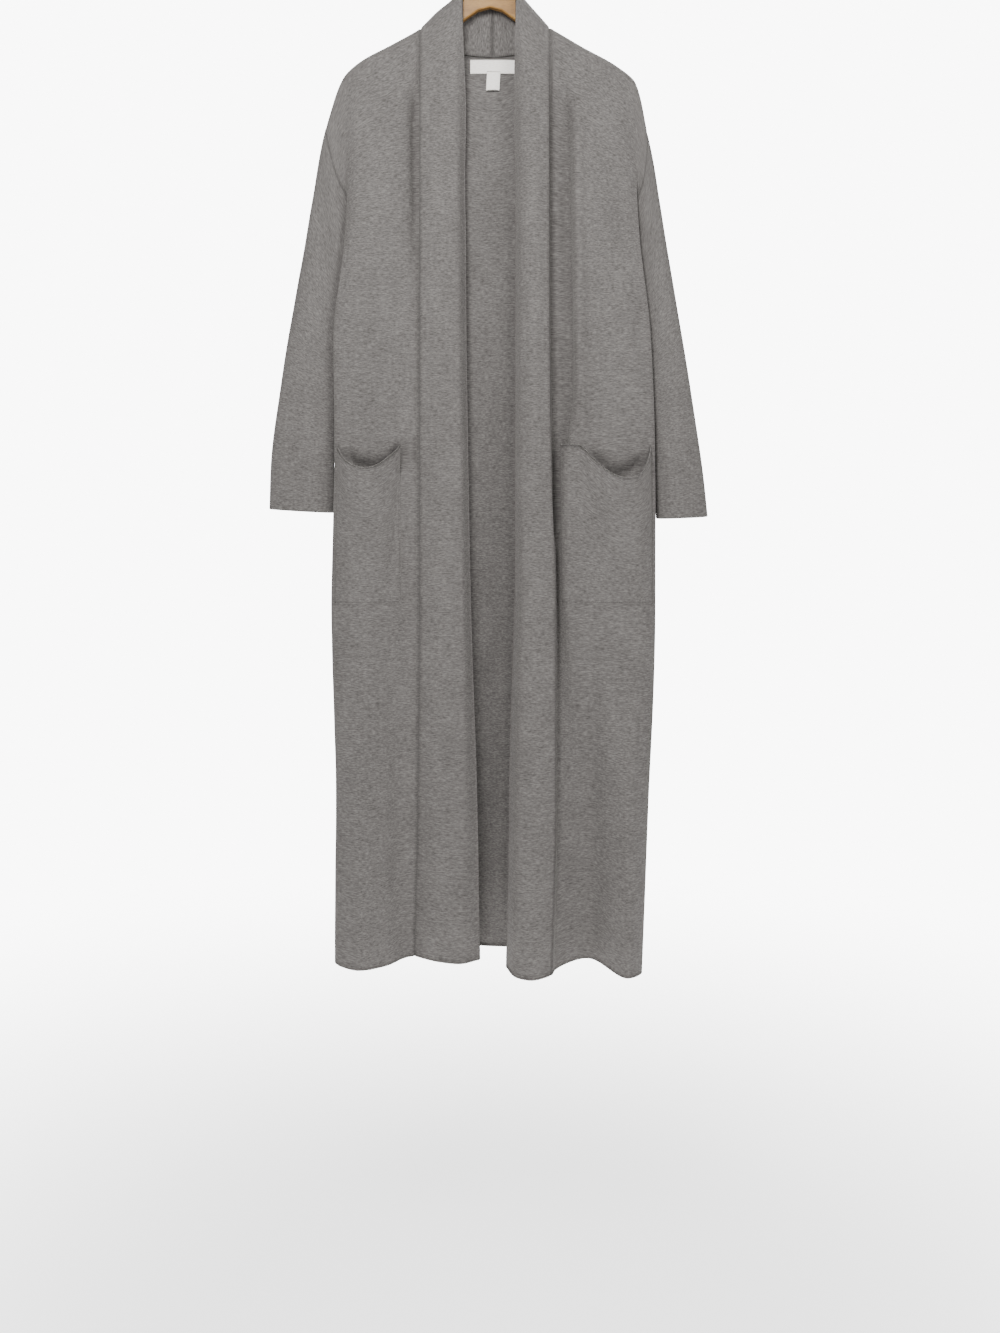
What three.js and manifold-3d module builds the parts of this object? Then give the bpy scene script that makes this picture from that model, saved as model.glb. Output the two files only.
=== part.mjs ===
// A long open-front knitted duster robe, hanging on a plain wooden hanger.
// Millimetres, +Z up, the front faces -Y. Left and right are as seen from the front.
// The origin is the inside top of the hanger's hook, where a rail carries it.
import * as THREE from "three";
import { mergeVertices } from "three/addons/utils/BufferGeometryUtils.js";
import Module from "manifold-3d";

const wasm = await Module();
wasm.setup();

// Driving sizes
const knitThickness = 2.2;
const bandThickness = 3.8; // the band is knitted double
const labelThickness = 0.8;
const seamGap = 0.4;
const armholeTrim = 0.35; // the sleeves' own share of the gap
const widestMitre = 1.5; // of a wall's edge to its thickness
const hangerThickness = 12;
const hookWireRadius = 2;
const underarmZ = -424;
const levelZ = { rib: -560, pocketTop: -700, pocketBase: -912, knee: -1180 };

// Rows of the cloth from the shoulder down, and how many strips are cut between one row and the next:
// shoulder, lip, upper, chest, underarm, rib, pocketTop, pocketBase, knee, hem
const rowKnots = [0, 12, 108, 193, 278, 414, 554, 766, 1034, 1248];
const rowSteps = [2, 3, 2, 2, 3, 3, 4, 4, 4];
const armholeRows = rowSteps.slice(0, 4).reduce((sum, n) => sum + n, 0);
const neckLineSteps = [1, 2, 2]; // from a shoulder's neck point to the lip, the curve and the centre back
const neckStrips = neckLineSteps.reduce((sum, n) => sum + n, 0);
const lipDrop = 8; // from the shoulder seam down to where the cloth hangs free of the hanger
const lipShare = 0.08; // how far the cloth has moved sideways there, towards the next row
const hangerClearance = 1.5;
const upperShare = 0.42; // how far down the armhole each row lies
const chestShare = 0.72;

// Lines that run down the cloth, from the band seam to the side seam, and the strips between them
const lineNames = ["seam", "groove", "mid", "ridge", "edge", "side"];
const lineSteps = [2, 2, 3, 3, 2];

// The shoulder seams lie along the hanger's top: one point for each line, [x, z]
const shoulders = {
  left: {
    seam: [-94.5, -138], groove: [-101, -142], mid: [-134, -160], ridge: [-176, -183],
    edge: [-199, -206], side: [-222, -272],
  },
  right: {
    seam: [81, -137], groove: [90, -142], mid: [124, -162], ridge: [172, -189],
    edge: [197, -212], side: [213, -280],
  },
};

// Plan sections of the fronts: where each line stands at each row, [x, y]
const leftFront = [
  { at: "upper", seam: [-94.5, -22], groove: [-99, -9], mid: [-132, -20], ridge: [-178, -22],
    edge: [-194, -13], side: [-207, -17] },
  { at: "chest", seam: [-94.5, -25], groove: [-99, -12], mid: [-132, -22], ridge: [-177, -25],
    edge: [-193, -14], side: [-187, -5] },
  { at: "underarm", seam: [-94.5, -26], groove: [-99, -18], mid: [-133, -24], ridge: [-178, -27],
    edge: [-196, -19], side: [-184, -1] },
  { at: "rib", seam: [-94.5, -27], groove: [-101, -22], mid: [-134, -28], ridge: [-182, -31],
    edge: [-209, -21], side: [-184, 1] },
  { at: "pocketTop", seam: [-94.5, -27], groove: [-103, -22], mid: [-136, -32], ridge: [-181, -36],
    edge: [-208, -22], side: [-187, 3] },
  { at: "pocketBase", seam: [-94.5, -25], groove: [-103, -21], mid: [-134, -35], ridge: [-181, -42],
    edge: [-212, -22], side: [-196, 6] },
  { at: "knee", seam: [-97, -17], groove: [-106, -16], mid: [-136, -38], ridge: [-176, -48],
    edge: [-206, -24], side: [-201, 8] },
  { at: "hem", seam: [-101.5, -6], groove: [-111, -11], mid: [-138, -38], ridge: [-172, -51],
    edge: [-207, -24], side: [-203, 8] },
];
const rightFront = [
  { at: "upper", seam: [80, -25], groove: [84, -8], mid: [120, -22], ridge: [176, -22],
    edge: [197, -12], side: [207, -16] },
  { at: "chest", seam: [80, -28], groove: [84, -8], mid: [120, -26], ridge: [177, -24],
    edge: [199, -14], side: [194, -5] },
  { at: "underarm", seam: [80, -30], groove: [84, -8], mid: [119, -29], ridge: [180, -26],
    edge: [202, -18], side: [190, -1] },
  { at: "rib", seam: [80.5, -32], groove: [85, -6], mid: [115, -32], ridge: [184, -30],
    edge: [216, -20], side: [190, 1] },
  { at: "pocketTop", seam: [82, -35], groove: [86, -6], mid: [107, -34], ridge: [188, -36],
    edge: [221, -20], side: [196, 3] },
  { at: "pocketBase", seam: [88, -40], groove: [90, -16], mid: [105, -34], ridge: [190, -42],
    edge: [222, -20], side: [206, 6] },
  { at: "knee", seam: [88, -44], groove: [91, -24], mid: [124, -20], ridge: [184, -52],
    edge: [212, -24], side: [205, 8] },
  { at: "hem", seam: [82, -43], groove: [88, -31], mid: [130, -9], ridge: [180, -54],
    edge: [203, -27], side: [199, 8] },
];

// Plan sections of the back, left half with the centre, then right half
const backLeft = [
  { at: "upper", side: [-207, 16], edge: [-196, 14], ridge: [-176, 18], mid: [-134, 16],
    groove: [-101, 15], seam: [-88, 15], centre: [3, 15] },
  { at: "chest", side: [-187, 8], edge: [-195, 17], ridge: [-172, 21], mid: [-132, 18],
    groove: [-101, 16], seam: [-86, 16], centre: [3, 15] },
  { at: "underarm", edge: [-197, 17], ridge: [-172, 23], mid: [-130, 20],
    groove: [-101, 17], seam: [-84, 17], centre: [3, 16] },
  { at: "rib", edge: [-208, 19], ridge: [-172, 28], mid: [-130, 24],
    groove: [-100, 20], seam: [-80, 20], centre: [3, 18] },
  { at: "pocketTop", edge: [-205, 22], ridge: [-168, 34], mid: [-128, 28],
    groove: [-98, 22], seam: [-74, 22], centre: [3, 21] },
  { at: "pocketBase", edge: [-203, 27], ridge: [-164, 42], mid: [-124, 30],
    groove: [-94, 22], seam: [-66, 26], centre: [3, 24] },
  { at: "knee", edge: [-194, 34], ridge: [-158, 52], mid: [-118, 30],
    groove: [-90, 22], seam: [-60, 36], centre: [4, 27] },
  { at: "hem", edge: [-190, 38], ridge: [-154, 58], mid: [-114, 30],
    groove: [-86, 22], seam: [-54, 42], centre: [4, 29] },
];
const backRight = [
  { at: "upper", side: [208, 16], edge: [199, 14], ridge: [172, 17], mid: [124, 16],
    groove: [90, 15], seam: [78, 15] },
  { at: "chest", side: [194, 8], edge: [201, 17], ridge: [172, 19], mid: [124, 18],
    groove: [90, 16], seam: [76, 16] },
  { at: "underarm", edge: [203, 17], ridge: [172, 22], mid: [124, 20],
    groove: [90, 17], seam: [74, 17] },
  { at: "rib", edge: [215, 19], ridge: [174, 26], mid: [126, 26],
    groove: [92, 22], seam: [70, 20] },
  { at: "pocketTop", edge: [217, 22], ridge: [176, 30], mid: [128, 32],
    groove: [92, 26], seam: [66, 22] },
  { at: "pocketBase", edge: [214, 27], ridge: [176, 32], mid: [130, 40],
    groove: [94, 32], seam: [60, 26] },
  { at: "knee", edge: [203, 34], ridge: [172, 36], mid: [130, 50],
    groove: [96, 38], seam: [56, 28] },
  { at: "hem", edge: [194, 38], ridge: [168, 38], mid: [130, 56],
    groove: [94, 42], seam: [52, 28] },
];

// The hem's height along each line: the robe hangs a little lower on the right
const hemZ = {
  left: { seam: -1388, groove: -1388, mid: -1391, ridge: -1393, edge: -1390, side: -1387 },
  right: { seam: -1402, groove: -1398, mid: -1390, ridge: -1402, edge: -1403, side: -1396 },
  backLeft: {
    side: -1387, edge: -1387, ridge: -1388, mid: -1386, groove: -1385, seam: -1386, centre: -1385,
  },
  backRight: { side: -1396, edge: -1394, ridge: -1390, mid: -1392, groove: -1389, seam: -1386 },
};

// The back neckline, from the left shoulder's neck point to the right one
const backNeck = [
  { at: "left", x: -94.5, y: 0, z: -138 },
  { at: "leftLip", x: -88, y: 11.5, z: -147 },
  { at: "leftCurve", x: -56, y: 14.5, z: -166 },
  { at: "centre", x: 3, y: 15, z: -174 },
  { at: "rightCurve", x: 50, y: 14.5, z: -166 },
  { at: "rightLip", x: 75, y: 11.5, z: -147 },
  { at: "right", x: 81, y: 0, z: -137 },
];

// The band's sections, as steps from its seam to its middle, its roll and its free edge, [dx, dy, dz]
const leftBand = [
  { at: "centreBack", middle: [0, 3, 30], roll: [0, 3, 60], free: [0, -1, 88] },
  { at: "nape", middle: [4, 2, 28], roll: [10, 3, 55], free: [17, 1, 79] },
  { at: "backLip", middle: [17, 2, 20], roll: [34, 3, 38], free: [48, 3, 54] },
  { at: "shoulder", middle: [22, 0, 22], roll: [42, 0, 38], free: [58, 0, 55] },
  { at: "lip", middle: [24, -3, 18], roll: [43, -4, 32], free: [57, -3, 46] },
  { at: "upper", middle: [27, -6, 0], roll: [50, -2, 2], free: [62, 17, 4] },
  { at: "chest", middle: [27, -7, 0], roll: [50, -3, 0], free: [61, 20, 0] },
  { at: "underarm", middle: [27, -7, 0], roll: [51, -3, 0], free: [62, 20, 0] },
  { at: "rib", middle: [28, -8, 0], roll: [52, -4, 0], free: [63, 20, 0] },
  { at: "pocketTop", middle: [28, -8, 0], roll: [54, -5, 0], free: [65, 18, 0] },
  { at: "pocketBase", middle: [29, -9, 0], roll: [57, -8, 0], free: [69, 14, 0] },
  { at: "knee", middle: [30, -12, 0], roll: [60, -13, 0], free: [80, 4, -1] },
  { at: "hem", middle: [31, -14, -3], roll: [61, -20, -4], free: [88, -8, -2] },
];
const rightBand = [
  { at: "centreBack", middle: [0, 3, 30], roll: [0, 3, 60], free: [0, -1, 88] },
  { at: "nape", middle: [-3, 2, 28], roll: [-8, 3, 55], free: [-13, 1, 79] },
  { at: "backLip", middle: [-11, 2, 20], roll: [-25, 3, 40], free: [-40, 3, 58] },
  { at: "shoulder", middle: [-14, 0, 16], roll: [-30, 0, 34], free: [-47, 0, 55] },
  { at: "lip", middle: [-18, -4, 17], roll: [-33, -5, 32], free: [-46, -4, 50] },
  { at: "upper", middle: [-24, -8, 0], roll: [-40, 0, 2], free: [-48, 22, 4] },
  { at: "chest", middle: [-24, -8, 0], roll: [-40, 1, 0], free: [-46, 26, 0] },
  { at: "underarm", middle: [-24, -8, 0], roll: [-40, 1, 0], free: [-46, 27, 0] },
  { at: "rib", middle: [-24, -8, 0], roll: [-41, 1, 0], free: [-47, 28, 0] },
  { at: "pocketTop", middle: [-25, -9, 0], roll: [-43, 0, 0], free: [-49, 30, 0] },
  { at: "pocketBase", middle: [-27, -10, 0], roll: [-47, -2, 0], free: [-56, 28, 0] },
  { at: "knee", middle: [-28, -11, 0], roll: [-50, -5, 0], free: [-63, 25, 0] },
  { at: "hem", middle: [-27, -13, -2], roll: [-50, -5, 0], free: [-61, 22, 4] },
];
const bandSteps = [2, 2, 2];
const bandColumns = ["middle", "roll", "free"];

// The sleeves: the outer and inner edge of each section, [x, z], and half its depth
const leftSleeve = [
  { at: "armholeEnd", outer: [-231, -318], inner: [-190, -452], halfDepth: 13 },
  { at: "bicep", outer: [-245, -402], inner: [-198, -492], halfDepth: 12 },
  { at: "elbow", outer: [-264, -506], inner: [-204, -556], halfDepth: 14 },
  { at: "forearm", outer: [-283, -622], inner: [-209, -644], halfDepth: 15 },
  { at: "wrist", outer: [-296, -728], inner: [-216, -734], halfDepth: 17 },
  { at: "cuff", outer: [-298, -786], inner: [-219, -791], halfDepth: 19 },
];
const rightSleeve = [
  { at: "armholeEnd", outer: [221, -322], inner: [197, -452], halfDepth: 11 },
  { at: "bicep", outer: [234, -406], inner: [203, -492], halfDepth: 13 },
  { at: "elbow", outer: [252, -510], inner: [209, -556], halfDepth: 14 },
  { at: "forearm", outer: [272, -630], inner: [216, -646], halfDepth: 16 },
  { at: "wrist", outer: [288, -738], inner: [225, -740], halfDepth: 18 },
  { at: "cuff", outer: [294, -796], inner: [230, -799], halfDepth: 20 },
];
const sleeveSteps = [2, 2, 3, 3, 2, 2];
// How far each ring has turned from the armhole's shape to an oval
const armholeBlend = [0, 0.55, 0.9, 1, 1, 1, 1];

// The patch pockets: which strips of the front they cover, and how their mouths hang
const pocket = {
  firstStrip: 3, lastStrip: 9, sag: 25, gape: 17, bagginess: 4, lift: 0.35, fullness: 1.2, sagCurve: 1.5,
};

// Neck label and size tab, sewn inside the back under the band seam
const label = { centreX: 5, topZ: -177, width: 64, height: 19, lift: 0.3 };
const labelGrid = { columns: 8, rows: 3 };
const sizeTab = { width: 18, height: 26, overlap: 3, lift: 1.4 };

// Hanger profile, right half: top edge from the crown out, then the underside back in, [x, z]
const hanger = {
  top: [
    [0, -68], [14, -69], [26, -84], [38, -103], [52, -125],
    [81, -152.7], [124, -171.4], [150, -184.8], [172, -197.8],
  ],
  tip: [[185, -212], [188, -222], [180, -227]],
  underside: [[150, -213], [92, -181], [60, -151], [36, -129], [16, -115], [0, -110.5]],
  bevel: 2,
  boreSides: 16,
  boreOverrun: 10,
};
const hook = {
  innerRadius: 17, shankTop: -46, shankEnd: -84, bendAngle: -68, mouthAngle: 215, boreClearance: 0.3,
  turns: 12, stepsAlong: 44, sides: 5,
};

const colours = {
  knit: 0x7b7876, label: 0xe6e3df, wood: 0xd9b585, wire: 0xb9bcc0,
};

// Slope-limited cubic through the values, so that a fold never overshoots its table
function slopes(knots, values) {
  const n = knots.length;
  const d = [];
  for (let i = 0; i < n - 1; i++) d.push((values[i + 1] - values[i]) / (knots[i + 1] - knots[i]));
  const m = [d[0]];
  for (let i = 1; i < n - 1; i++) {
    m.push(d[i - 1] * d[i] <= 0 ? 0 : (2 * d[i - 1] * d[i]) / (d[i - 1] + d[i]));
  }
  m.push(d[n - 2]);
  return m;
}

function smoothAt(knots, values, span, s) {
  const m = slopes(knots, values);
  const h = knots[span + 1] - knots[span];
  return (1 + 2 * s) * (1 - s) ** 2 * values[span] + s * (1 - s) ** 2 * h * m[span]
    + s * s * (3 - 2 * s) * values[span + 1] + s * s * (s - 1) * h * m[span + 1];
}

// Points through a row of control points, with the given number of steps in each span
function sampleRow(points, steps, knots = chordKnots(points)) {
  const axes = ["x", "y", "z"].map((k) => points.map((p) => p[k]));
  const row = [points[0].clone()];
  steps.forEach((count, span) => {
    for (let i = 1; i <= count; i++) {
      const [x, y, z] = axes.map((values) => smoothAt(knots, values, span, i / count));
      row.push(new THREE.Vector3(x, y, z));
    }
  });
  return row;
}

function chordKnots(points) {
  const knots = [0];
  for (let i = 1; i < points.length; i++) {
    knots.push(knots[i - 1] + Math.max(points[i].distanceTo(points[i - 1]), 1e-3));
  }
  return knots;
}

// A grid[column][row] from control lines, each a list of points down the cloth
function gridFromLines(lines, acrossSteps, downSteps, downKnots) {
  const longLines = lines.map((line) => sampleRow(line, downSteps, downKnots));
  const rows = longLines[0].map((_, j) => sampleRow(longLines.map((line) => line[j]), acrossSteps));
  return rows[0].map((_, i) => rows.map((row) => row[i]));
}

// One control line of a front or back, from the shoulder seam to the hem
function bodyLine(name, shoulder, sections, hem, front, sideBelow) {
  const [x, z] = shoulder;
  const first = sections[0][name];
  const points = [new THREE.Vector3(x, 0, z)];
  const lipY = front * (hangerThickness / 2 + bandThickness + hangerClearance);
  const lipX = x + (first[0] - x) * lipShare;
  points.push(new THREE.Vector3(lipX, lipY, z - lipDrop));
  for (const section of sections) {
    const share = { upper: upperShare, chest: chestShare, underarm: 1 }[section.at];
    const depth = share ? z + (underarmZ - z) * share : levelZ[section.at] ?? hem[name];
    const place = section[name] ?? sideBelow[section.at].side;
    points.push(new THREE.Vector3(place[0], place[1], depth));
  }
  return points;
}

const byName = (sections) => Object.fromEntries(sections.map((s) => [s.at, s]));

function frontGrid(side, sections) {
  const lines = lineNames.map((name) => bodyLine(name, shoulders[side][name], sections, hemZ[side], -1));
  return gridFromLines(lines, lineSteps, rowSteps, rowKnots);
}

function backGrid() {
  const half = (side, sections, hem, front) => lineNames.map(
    (name) => bodyLine(name, shoulders[side][name], sections, hem, 1, byName(front)),
  );
  const left = half("left", backLeft, hemZ.backLeft, leftFront).reverse();
  const right = half("right", backRight, hemZ.backRight, rightFront);
  const centreTop = backNeck.find((p) => p.at === "centre");
  const centre = bodyLine("centre", [centreTop.x, centreTop.z], backLeft, hemZ.backLeft, 1);
  centre[0].y = centreTop.y;
  centre[1].y = centreTop.y;
  const steps = [...lineSteps].reverse();
  const grid = gridFromLines([...left, centre, ...right], [...steps, neckStrips, neckStrips, ...lineSteps],
    rowSteps, rowKnots);
  // the shoulder seams are the fronts' own, and the neckline is its own curve
  const neck = sampleRow(backNeck.map((p) => new THREE.Vector3(p.x, p.y, p.z)),
    [...neckLineSteps, ...[...neckLineSteps].reverse()]);
  const strips = lineSteps.reduce((sum, n) => sum + n, 0);
  for (let i = 0; i <= strips; i++) {
    grid[i][0] = leftGrid[strips - i][0].clone();
    grid[grid.length - 1 - i][0] = rightGrid[strips - i][0].clone();
  }
  const follow = [1, 0.95, 0.9, 0.5, 0.2]; // how far each row under the neckline follows it
  neck.forEach((p, k) => {
    const column = grid[strips + k];
    const shift = p.clone().sub(column[0]);
    follow.forEach((share, j) => column[j].addScaledVector(shift, share));
  });
  return grid;
}

// A sleeve: rings from the armhole seam to the cuff
function sleeveGrid(frontSide, backSide, sections) {
  const armhole = [...frontSide.slice(0, armholeRows + 1).reverse(), ...backSide.slice(1, armholeRows)];
  const around = armhole.length;
  const rings = [armhole];
  sections.forEach((section, k) => {
    const outer = new THREE.Vector3(section.outer[0], 0, section.outer[1]);
    const inner = new THREE.Vector3(section.inner[0], 0, section.inner[1]);
    const centre = outer.clone().add(inner).multiplyScalar(0.5);
    const reach = outer.clone().sub(inner).multiplyScalar(0.5);
    const oval = armhole.map((p, i) => {
      const angle = Math.PI * (1 - (2 * i) / around);
      return centre.clone().addScaledVector(reach, Math.cos(angle))
        .add(new THREE.Vector3(0, -section.halfDepth * Math.sin(angle), 0));
    });
    const armholeCentre = armhole[0].clone().add(armhole[around / 2]).multiplyScalar(0.5);
    const moved = armhole.map((p) => p.clone().add(centre).sub(armholeCentre));
    rings.push(oval.map((p, i) => moved[i].lerp(p, armholeBlend[k + 1])));
  });
  const knots = chordKnots(rings.map((ring) => ring[Math.round(around / 4)]));
  return armhole.map((_, i) => sampleRow(rings.map((ring) => ring[i]), sleeveSteps, knots));
}

// The band: its seam edge is the front's and the neckline's, and its sections come from the table
function bandGrid(seam, sections, seamSteps) {
  const knots = [0];
  seamSteps.forEach((n) => knots.push(knots[knots.length - 1] + n));
  const offsets = bandColumns.map((name) => sampleRow(
    sections.map((s) => new THREE.Vector3(...s[name])), seamSteps, knots,
  ));
  const rows = seam.map((p, j) => sampleRow([p, ...offsets.map((o) => p.clone().add(o[j]))], bandSteps));
  return rows[0].map((_, i) => rows.map((row) => row[i]));
}

// A pocket lies on its front: the front's own points, moved out, with a mouth that sags and gapes
function pocketGrid(front) {
  const firstRow = armholeRows + rowSteps[4] + rowSteps[5];
  const lastRow = firstRow + rowSteps[6];
  const grid = [];
  for (let i = pocket.firstStrip; i <= pocket.lastStrip; i++) {
    const across = (i - pocket.firstStrip) / (pocket.lastStrip - pocket.firstStrip);
    const swell = Math.sin(Math.PI * across) ** pocket.fullness;
    const column = [];
    for (let j = firstRow; j <= lastRow; j++) {
      const down = (j - firstRow) / (lastRow - firstRow);
      const p = front.points[i][j].clone();
      const out = pocket.lift + knitThickness
        + swell * (pocket.gape * (1 - down) ** 2 + pocket.bagginess * Math.sin(Math.PI * down));
      p.addScaledVector(front.normals[i][j], out);
      p.z -= swell * pocket.sag * (1 - down) ** pocket.sagCurve;
      column.push(p);
    }
    grid.push(column);
  }
  return grid;
}

// Surface normals of a grid, pointing to the cloth's outside
function gridNormals(points, outward, closed) {
  return points.map((column, i) => column.map((_, j) => {
    const across = directionAcross(points, i, j, closed);
    return across.cross(directionDown(points, i, j)).normalize().multiplyScalar(outward);
  }));
}

function directionAcross(points, i, j, closed) {
  const n = points.length;
  const before = closed ? (i + n - 1) % n : Math.max(i - 1, 0);
  const after = closed ? (i + 1) % n : Math.min(i + 1, n - 1);
  return points[after][j].clone().sub(points[before][j]).normalize();
}

function directionDown(points, i, j) {
  const above = points[i][Math.max(j - 1, 0)];
  const below = points[i][Math.min(j + 1, points[i].length - 1)];
  return below.clone().sub(above).normalize();
}

const seamNormals = new Map();
const keyOf = (p) => `${p.x.toFixed(2)},${p.y.toFixed(2)},${p.z.toFixed(2)}`.replaceAll("-0.00", "0.00");

// How much longer the wall's edge is than its thickness, where panels meet at an angle
function seamMitre(p) {
  const { sum, count } = seamNormals.get(keyOf(p));
  return Math.min(count / sum.length(), widestMitre);
}

// A sheet of cloth, and which of its edges are sewn: left, right, top, bottom. Its normals along the edges
// are added to those of the sheets that share them.
function sheet(points, { outward = 1, closed = false, thickness = knitThickness, sewn = [] } = {}) {
  const normals = gridNormals(points, outward, closed);
  const lastColumn = points.length - 1;
  const lastRow = points[0].length - 1;
  points.forEach((column, i) => column.forEach((p, j) => {
    const onEdge = (!closed && (i === 0 || i === lastColumn)) || j === 0 || j === lastRow;
    if (!onEdge) return;
    const key = keyOf(p);
    const seam = seamNormals.get(key) ?? { sum: new THREE.Vector3(), count: 0 };
    seam.sum.add(normals[i][j]);
    seam.count += 1;
    seamNormals.set(key, seam);
  }));
  return { points, normals, closed, thickness, sewn };
}

// The wall of a sheet, as one closed geometry, trimmed back by half the seam gap where it is sewn
function wallGeometry(cloth) {
  const { points, closed, thickness, sewn } = cloth;
  const n = points.length;
  const rows = points[0].length;
  const outer = [];
  const inner = [];
  points.forEach((column, i) => column.forEach((p, j) => {
    const edges = [];
    if (!closed && i === 0) edges.push(["left", 1, 0]);
    if (!closed && i === n - 1) edges.push(["right", -1, 0]);
    if (j === 0) edges.push(["top", 0, 1]);
    if (j === rows - 1) edges.push(["bottom", 0, -1]);
    const shared = edges.length ? seamNormals.get(keyOf(p)).sum.clone().normalize() : cloth.normals[i][j];
    const q = p.clone();
    for (const [name, di, dj] of edges) {
      if (!sewn.includes(name)) continue;
      const inward = points[i + di][j + dj].clone().sub(p);
      const along = dj ? directionAcross(points, i, j, closed) : directionDown(points, i, j);
      const away = along.cross(shared).normalize();
      const trim = closed ? armholeTrim : seamGap / 2;
      q.addScaledVector(away, (inward.dot(away) < 0 ? -1 : 1) * trim);
    }
    const mitre = edges.length ? seamMitre(p) : 1;
    outer.push(q);
    inner.push(q.clone().addScaledVector(shared, -thickness * mitre));
  }));
  const at = (i, j) => (i % n) * rows + j;
  const count = outer.length;
  const faces = [];
  const quad = (a, b, c, d) => faces.push(a, b, c, a, c, d);
  // the wall's edges are split the same way on both sides of a seam: by height, along a slanting line
  const slant = (k) => outer[k].z + 0.37 * outer[k].x + 0.11 * outer[k].y;
  const rim = (a, b) => {
    if (slant(a) > slant(b)) quad(a, b, count + b, count + a);
    else quad(b, count + b, count + a, a);
  };
  const columns = closed ? n : n - 1;
  for (let i = 0; i < columns; i++) {
    for (let j = 0; j < rows - 1; j++) {
      quad(at(i, j), at(i, j + 1), at(i + 1, j + 1), at(i + 1, j));
      quad(count + at(i, j), count + at(i + 1, j), count + at(i + 1, j + 1), count + at(i, j + 1));
    }
    rim(at(i, 0), at(i + 1, 0));
    rim(at(i + 1, rows - 1), at(i, rows - 1));
  }
  if (!closed) {
    for (let j = 0; j < rows - 1; j++) {
      rim(at(0, j + 1), at(0, j));
      rim(at(n - 1, j), at(n - 1, j + 1));
    }
  }
  const geometry = new THREE.BufferGeometry();
  const flat = [...outer, ...inner].flatMap((p) => [p.x, p.y, p.z]);
  geometry.setAttribute("position", new THREE.Float32BufferAttribute(flat, 3));
  geometry.setIndex(faces);
  if (signedVolume(geometry) < 0) flipFaces(geometry);
  geometry.computeVertexNormals();
  return geometry;
}

function signedVolume(geometry) {
  const position = geometry.getAttribute("position");
  const index = geometry.getIndex().array;
  const [a, b, c] = [new THREE.Vector3(), new THREE.Vector3(), new THREE.Vector3()];
  let sum = 0;
  for (let k = 0; k < index.length; k += 3) {
    a.fromBufferAttribute(position, index[k]);
    b.fromBufferAttribute(position, index[k + 1]);
    c.fromBufferAttribute(position, index[k + 2]);
    sum += a.dot(b.cross(c)) / 6;
  }
  return sum;
}

function flipFaces(geometry) {
  const index = geometry.getIndex().array;
  for (let k = 0; k < index.length; k += 3) [index[k], index[k + 1]] = [index[k + 1], index[k]];
}

// Where the back's inner side lies, straight behind a point of the front view
function backInside(x, z) {
  const inside = cloth.back.points.map((column, i) => column.map(
    (p, j) => p.clone().addScaledVector(cloth.back.normals[i][j], -knitThickness),
  ));
  const target = new THREE.Vector3(x, 0, z);
  for (let i = 0; i < inside.length - 1; i++) {
    for (let j = 0; j < inside[0].length - 1; j++) {
      const corners = [inside[i][j], inside[i][j + 1], inside[i + 1][j + 1], inside[i + 1][j]];
      for (const [a, b, c] of [[0, 1, 2], [0, 2, 3]]) {
        const flat = [a, b, c].map((k) => new THREE.Vector3(corners[k].x, 0, corners[k].z));
        const share = THREE.Triangle.getBarycoord(target, ...flat, new THREE.Vector3());
        if (!share || Math.min(share.x, share.y, share.z) < 0) continue;
        return corners[a].y * share.x + corners[b].y * share.y + corners[c].y * share.z;
      }
    }
  }
  throw new Error("the label reaches past the back");
}

// A label lies on the back's inner side, facing the front
function labelSheet(left, width, top, height, lift) {
  const grid = [];
  for (let i = 0; i <= labelGrid.columns; i++) {
    const x = left + (width * i) / labelGrid.columns;
    const column = [];
    for (let j = 0; j <= labelGrid.rows; j++) {
      const z = top - (height * j) / labelGrid.rows;
      column.push(new THREE.Vector3(x, backInside(x, z) - lift - labelThickness, z));
    }
    grid.push(column);
  }
  return sheet(grid, { outward: -1, thickness: labelThickness });
}

// The wooden hanger, with the hook's bore cut into its crown
function hangerGeometry() {
  const rightSide = [...hanger.top, ...hanger.tip, ...hanger.underside];
  const leftSide = rightSide.slice(1, -1).reverse().map(([x, z]) => [-x, z]);
  const outline = [...rightSide, ...leftSide].map(([x, z]) => new THREE.Vector2(x, z));
  const depth = hangerThickness - 2 * hanger.bevel;
  const body = new THREE.ExtrudeGeometry(new THREE.Shape(outline), {
    depth, steps: 1, bevelEnabled: true, bevelSegments: 2,
    bevelThickness: hanger.bevel, bevelSize: hanger.bevel, bevelOffset: -hanger.bevel,
  });
  body.translate(0, 0, -depth / 2);
  body.rotateX(Math.PI / 2);
  const boreRadius = hookWireRadius + hook.boreClearance;
  const boreEnd = hook.shankEnd - seamGap;
  const boreLength = hanger.top[0][1] + hanger.boreOverrun - boreEnd;
  const bore = new THREE.CylinderGeometry(boreRadius, boreRadius, boreLength, hanger.boreSides);
  bore.rotateX(Math.PI / 2);
  bore.translate(0, 0, boreEnd + boreLength / 2);
  return fromManifold(toManifold(body).subtract(toManifold(bore)));
}

function toManifold(geometry) {
  const bare = geometry.clone();
  bare.deleteAttribute("normal");
  bare.deleteAttribute("uv");
  const merged = mergeVertices(bare, 1e-4);
  return new wasm.Manifold(new wasm.Mesh({
    numProp: 3,
    vertProperties: new Float32Array(merged.getAttribute("position").array),
    triVerts: new Uint32Array(merged.getIndex().array),
  }));
}

function fromManifold(solid) {
  const mesh = solid.getMesh();
  const geometry = new THREE.BufferGeometry();
  geometry.setAttribute("position", new THREE.Float32BufferAttribute(mesh.vertProperties, 3));
  geometry.setIndex([...mesh.triVerts]);
  geometry.computeVertexNormals();
  return geometry;
}

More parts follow.
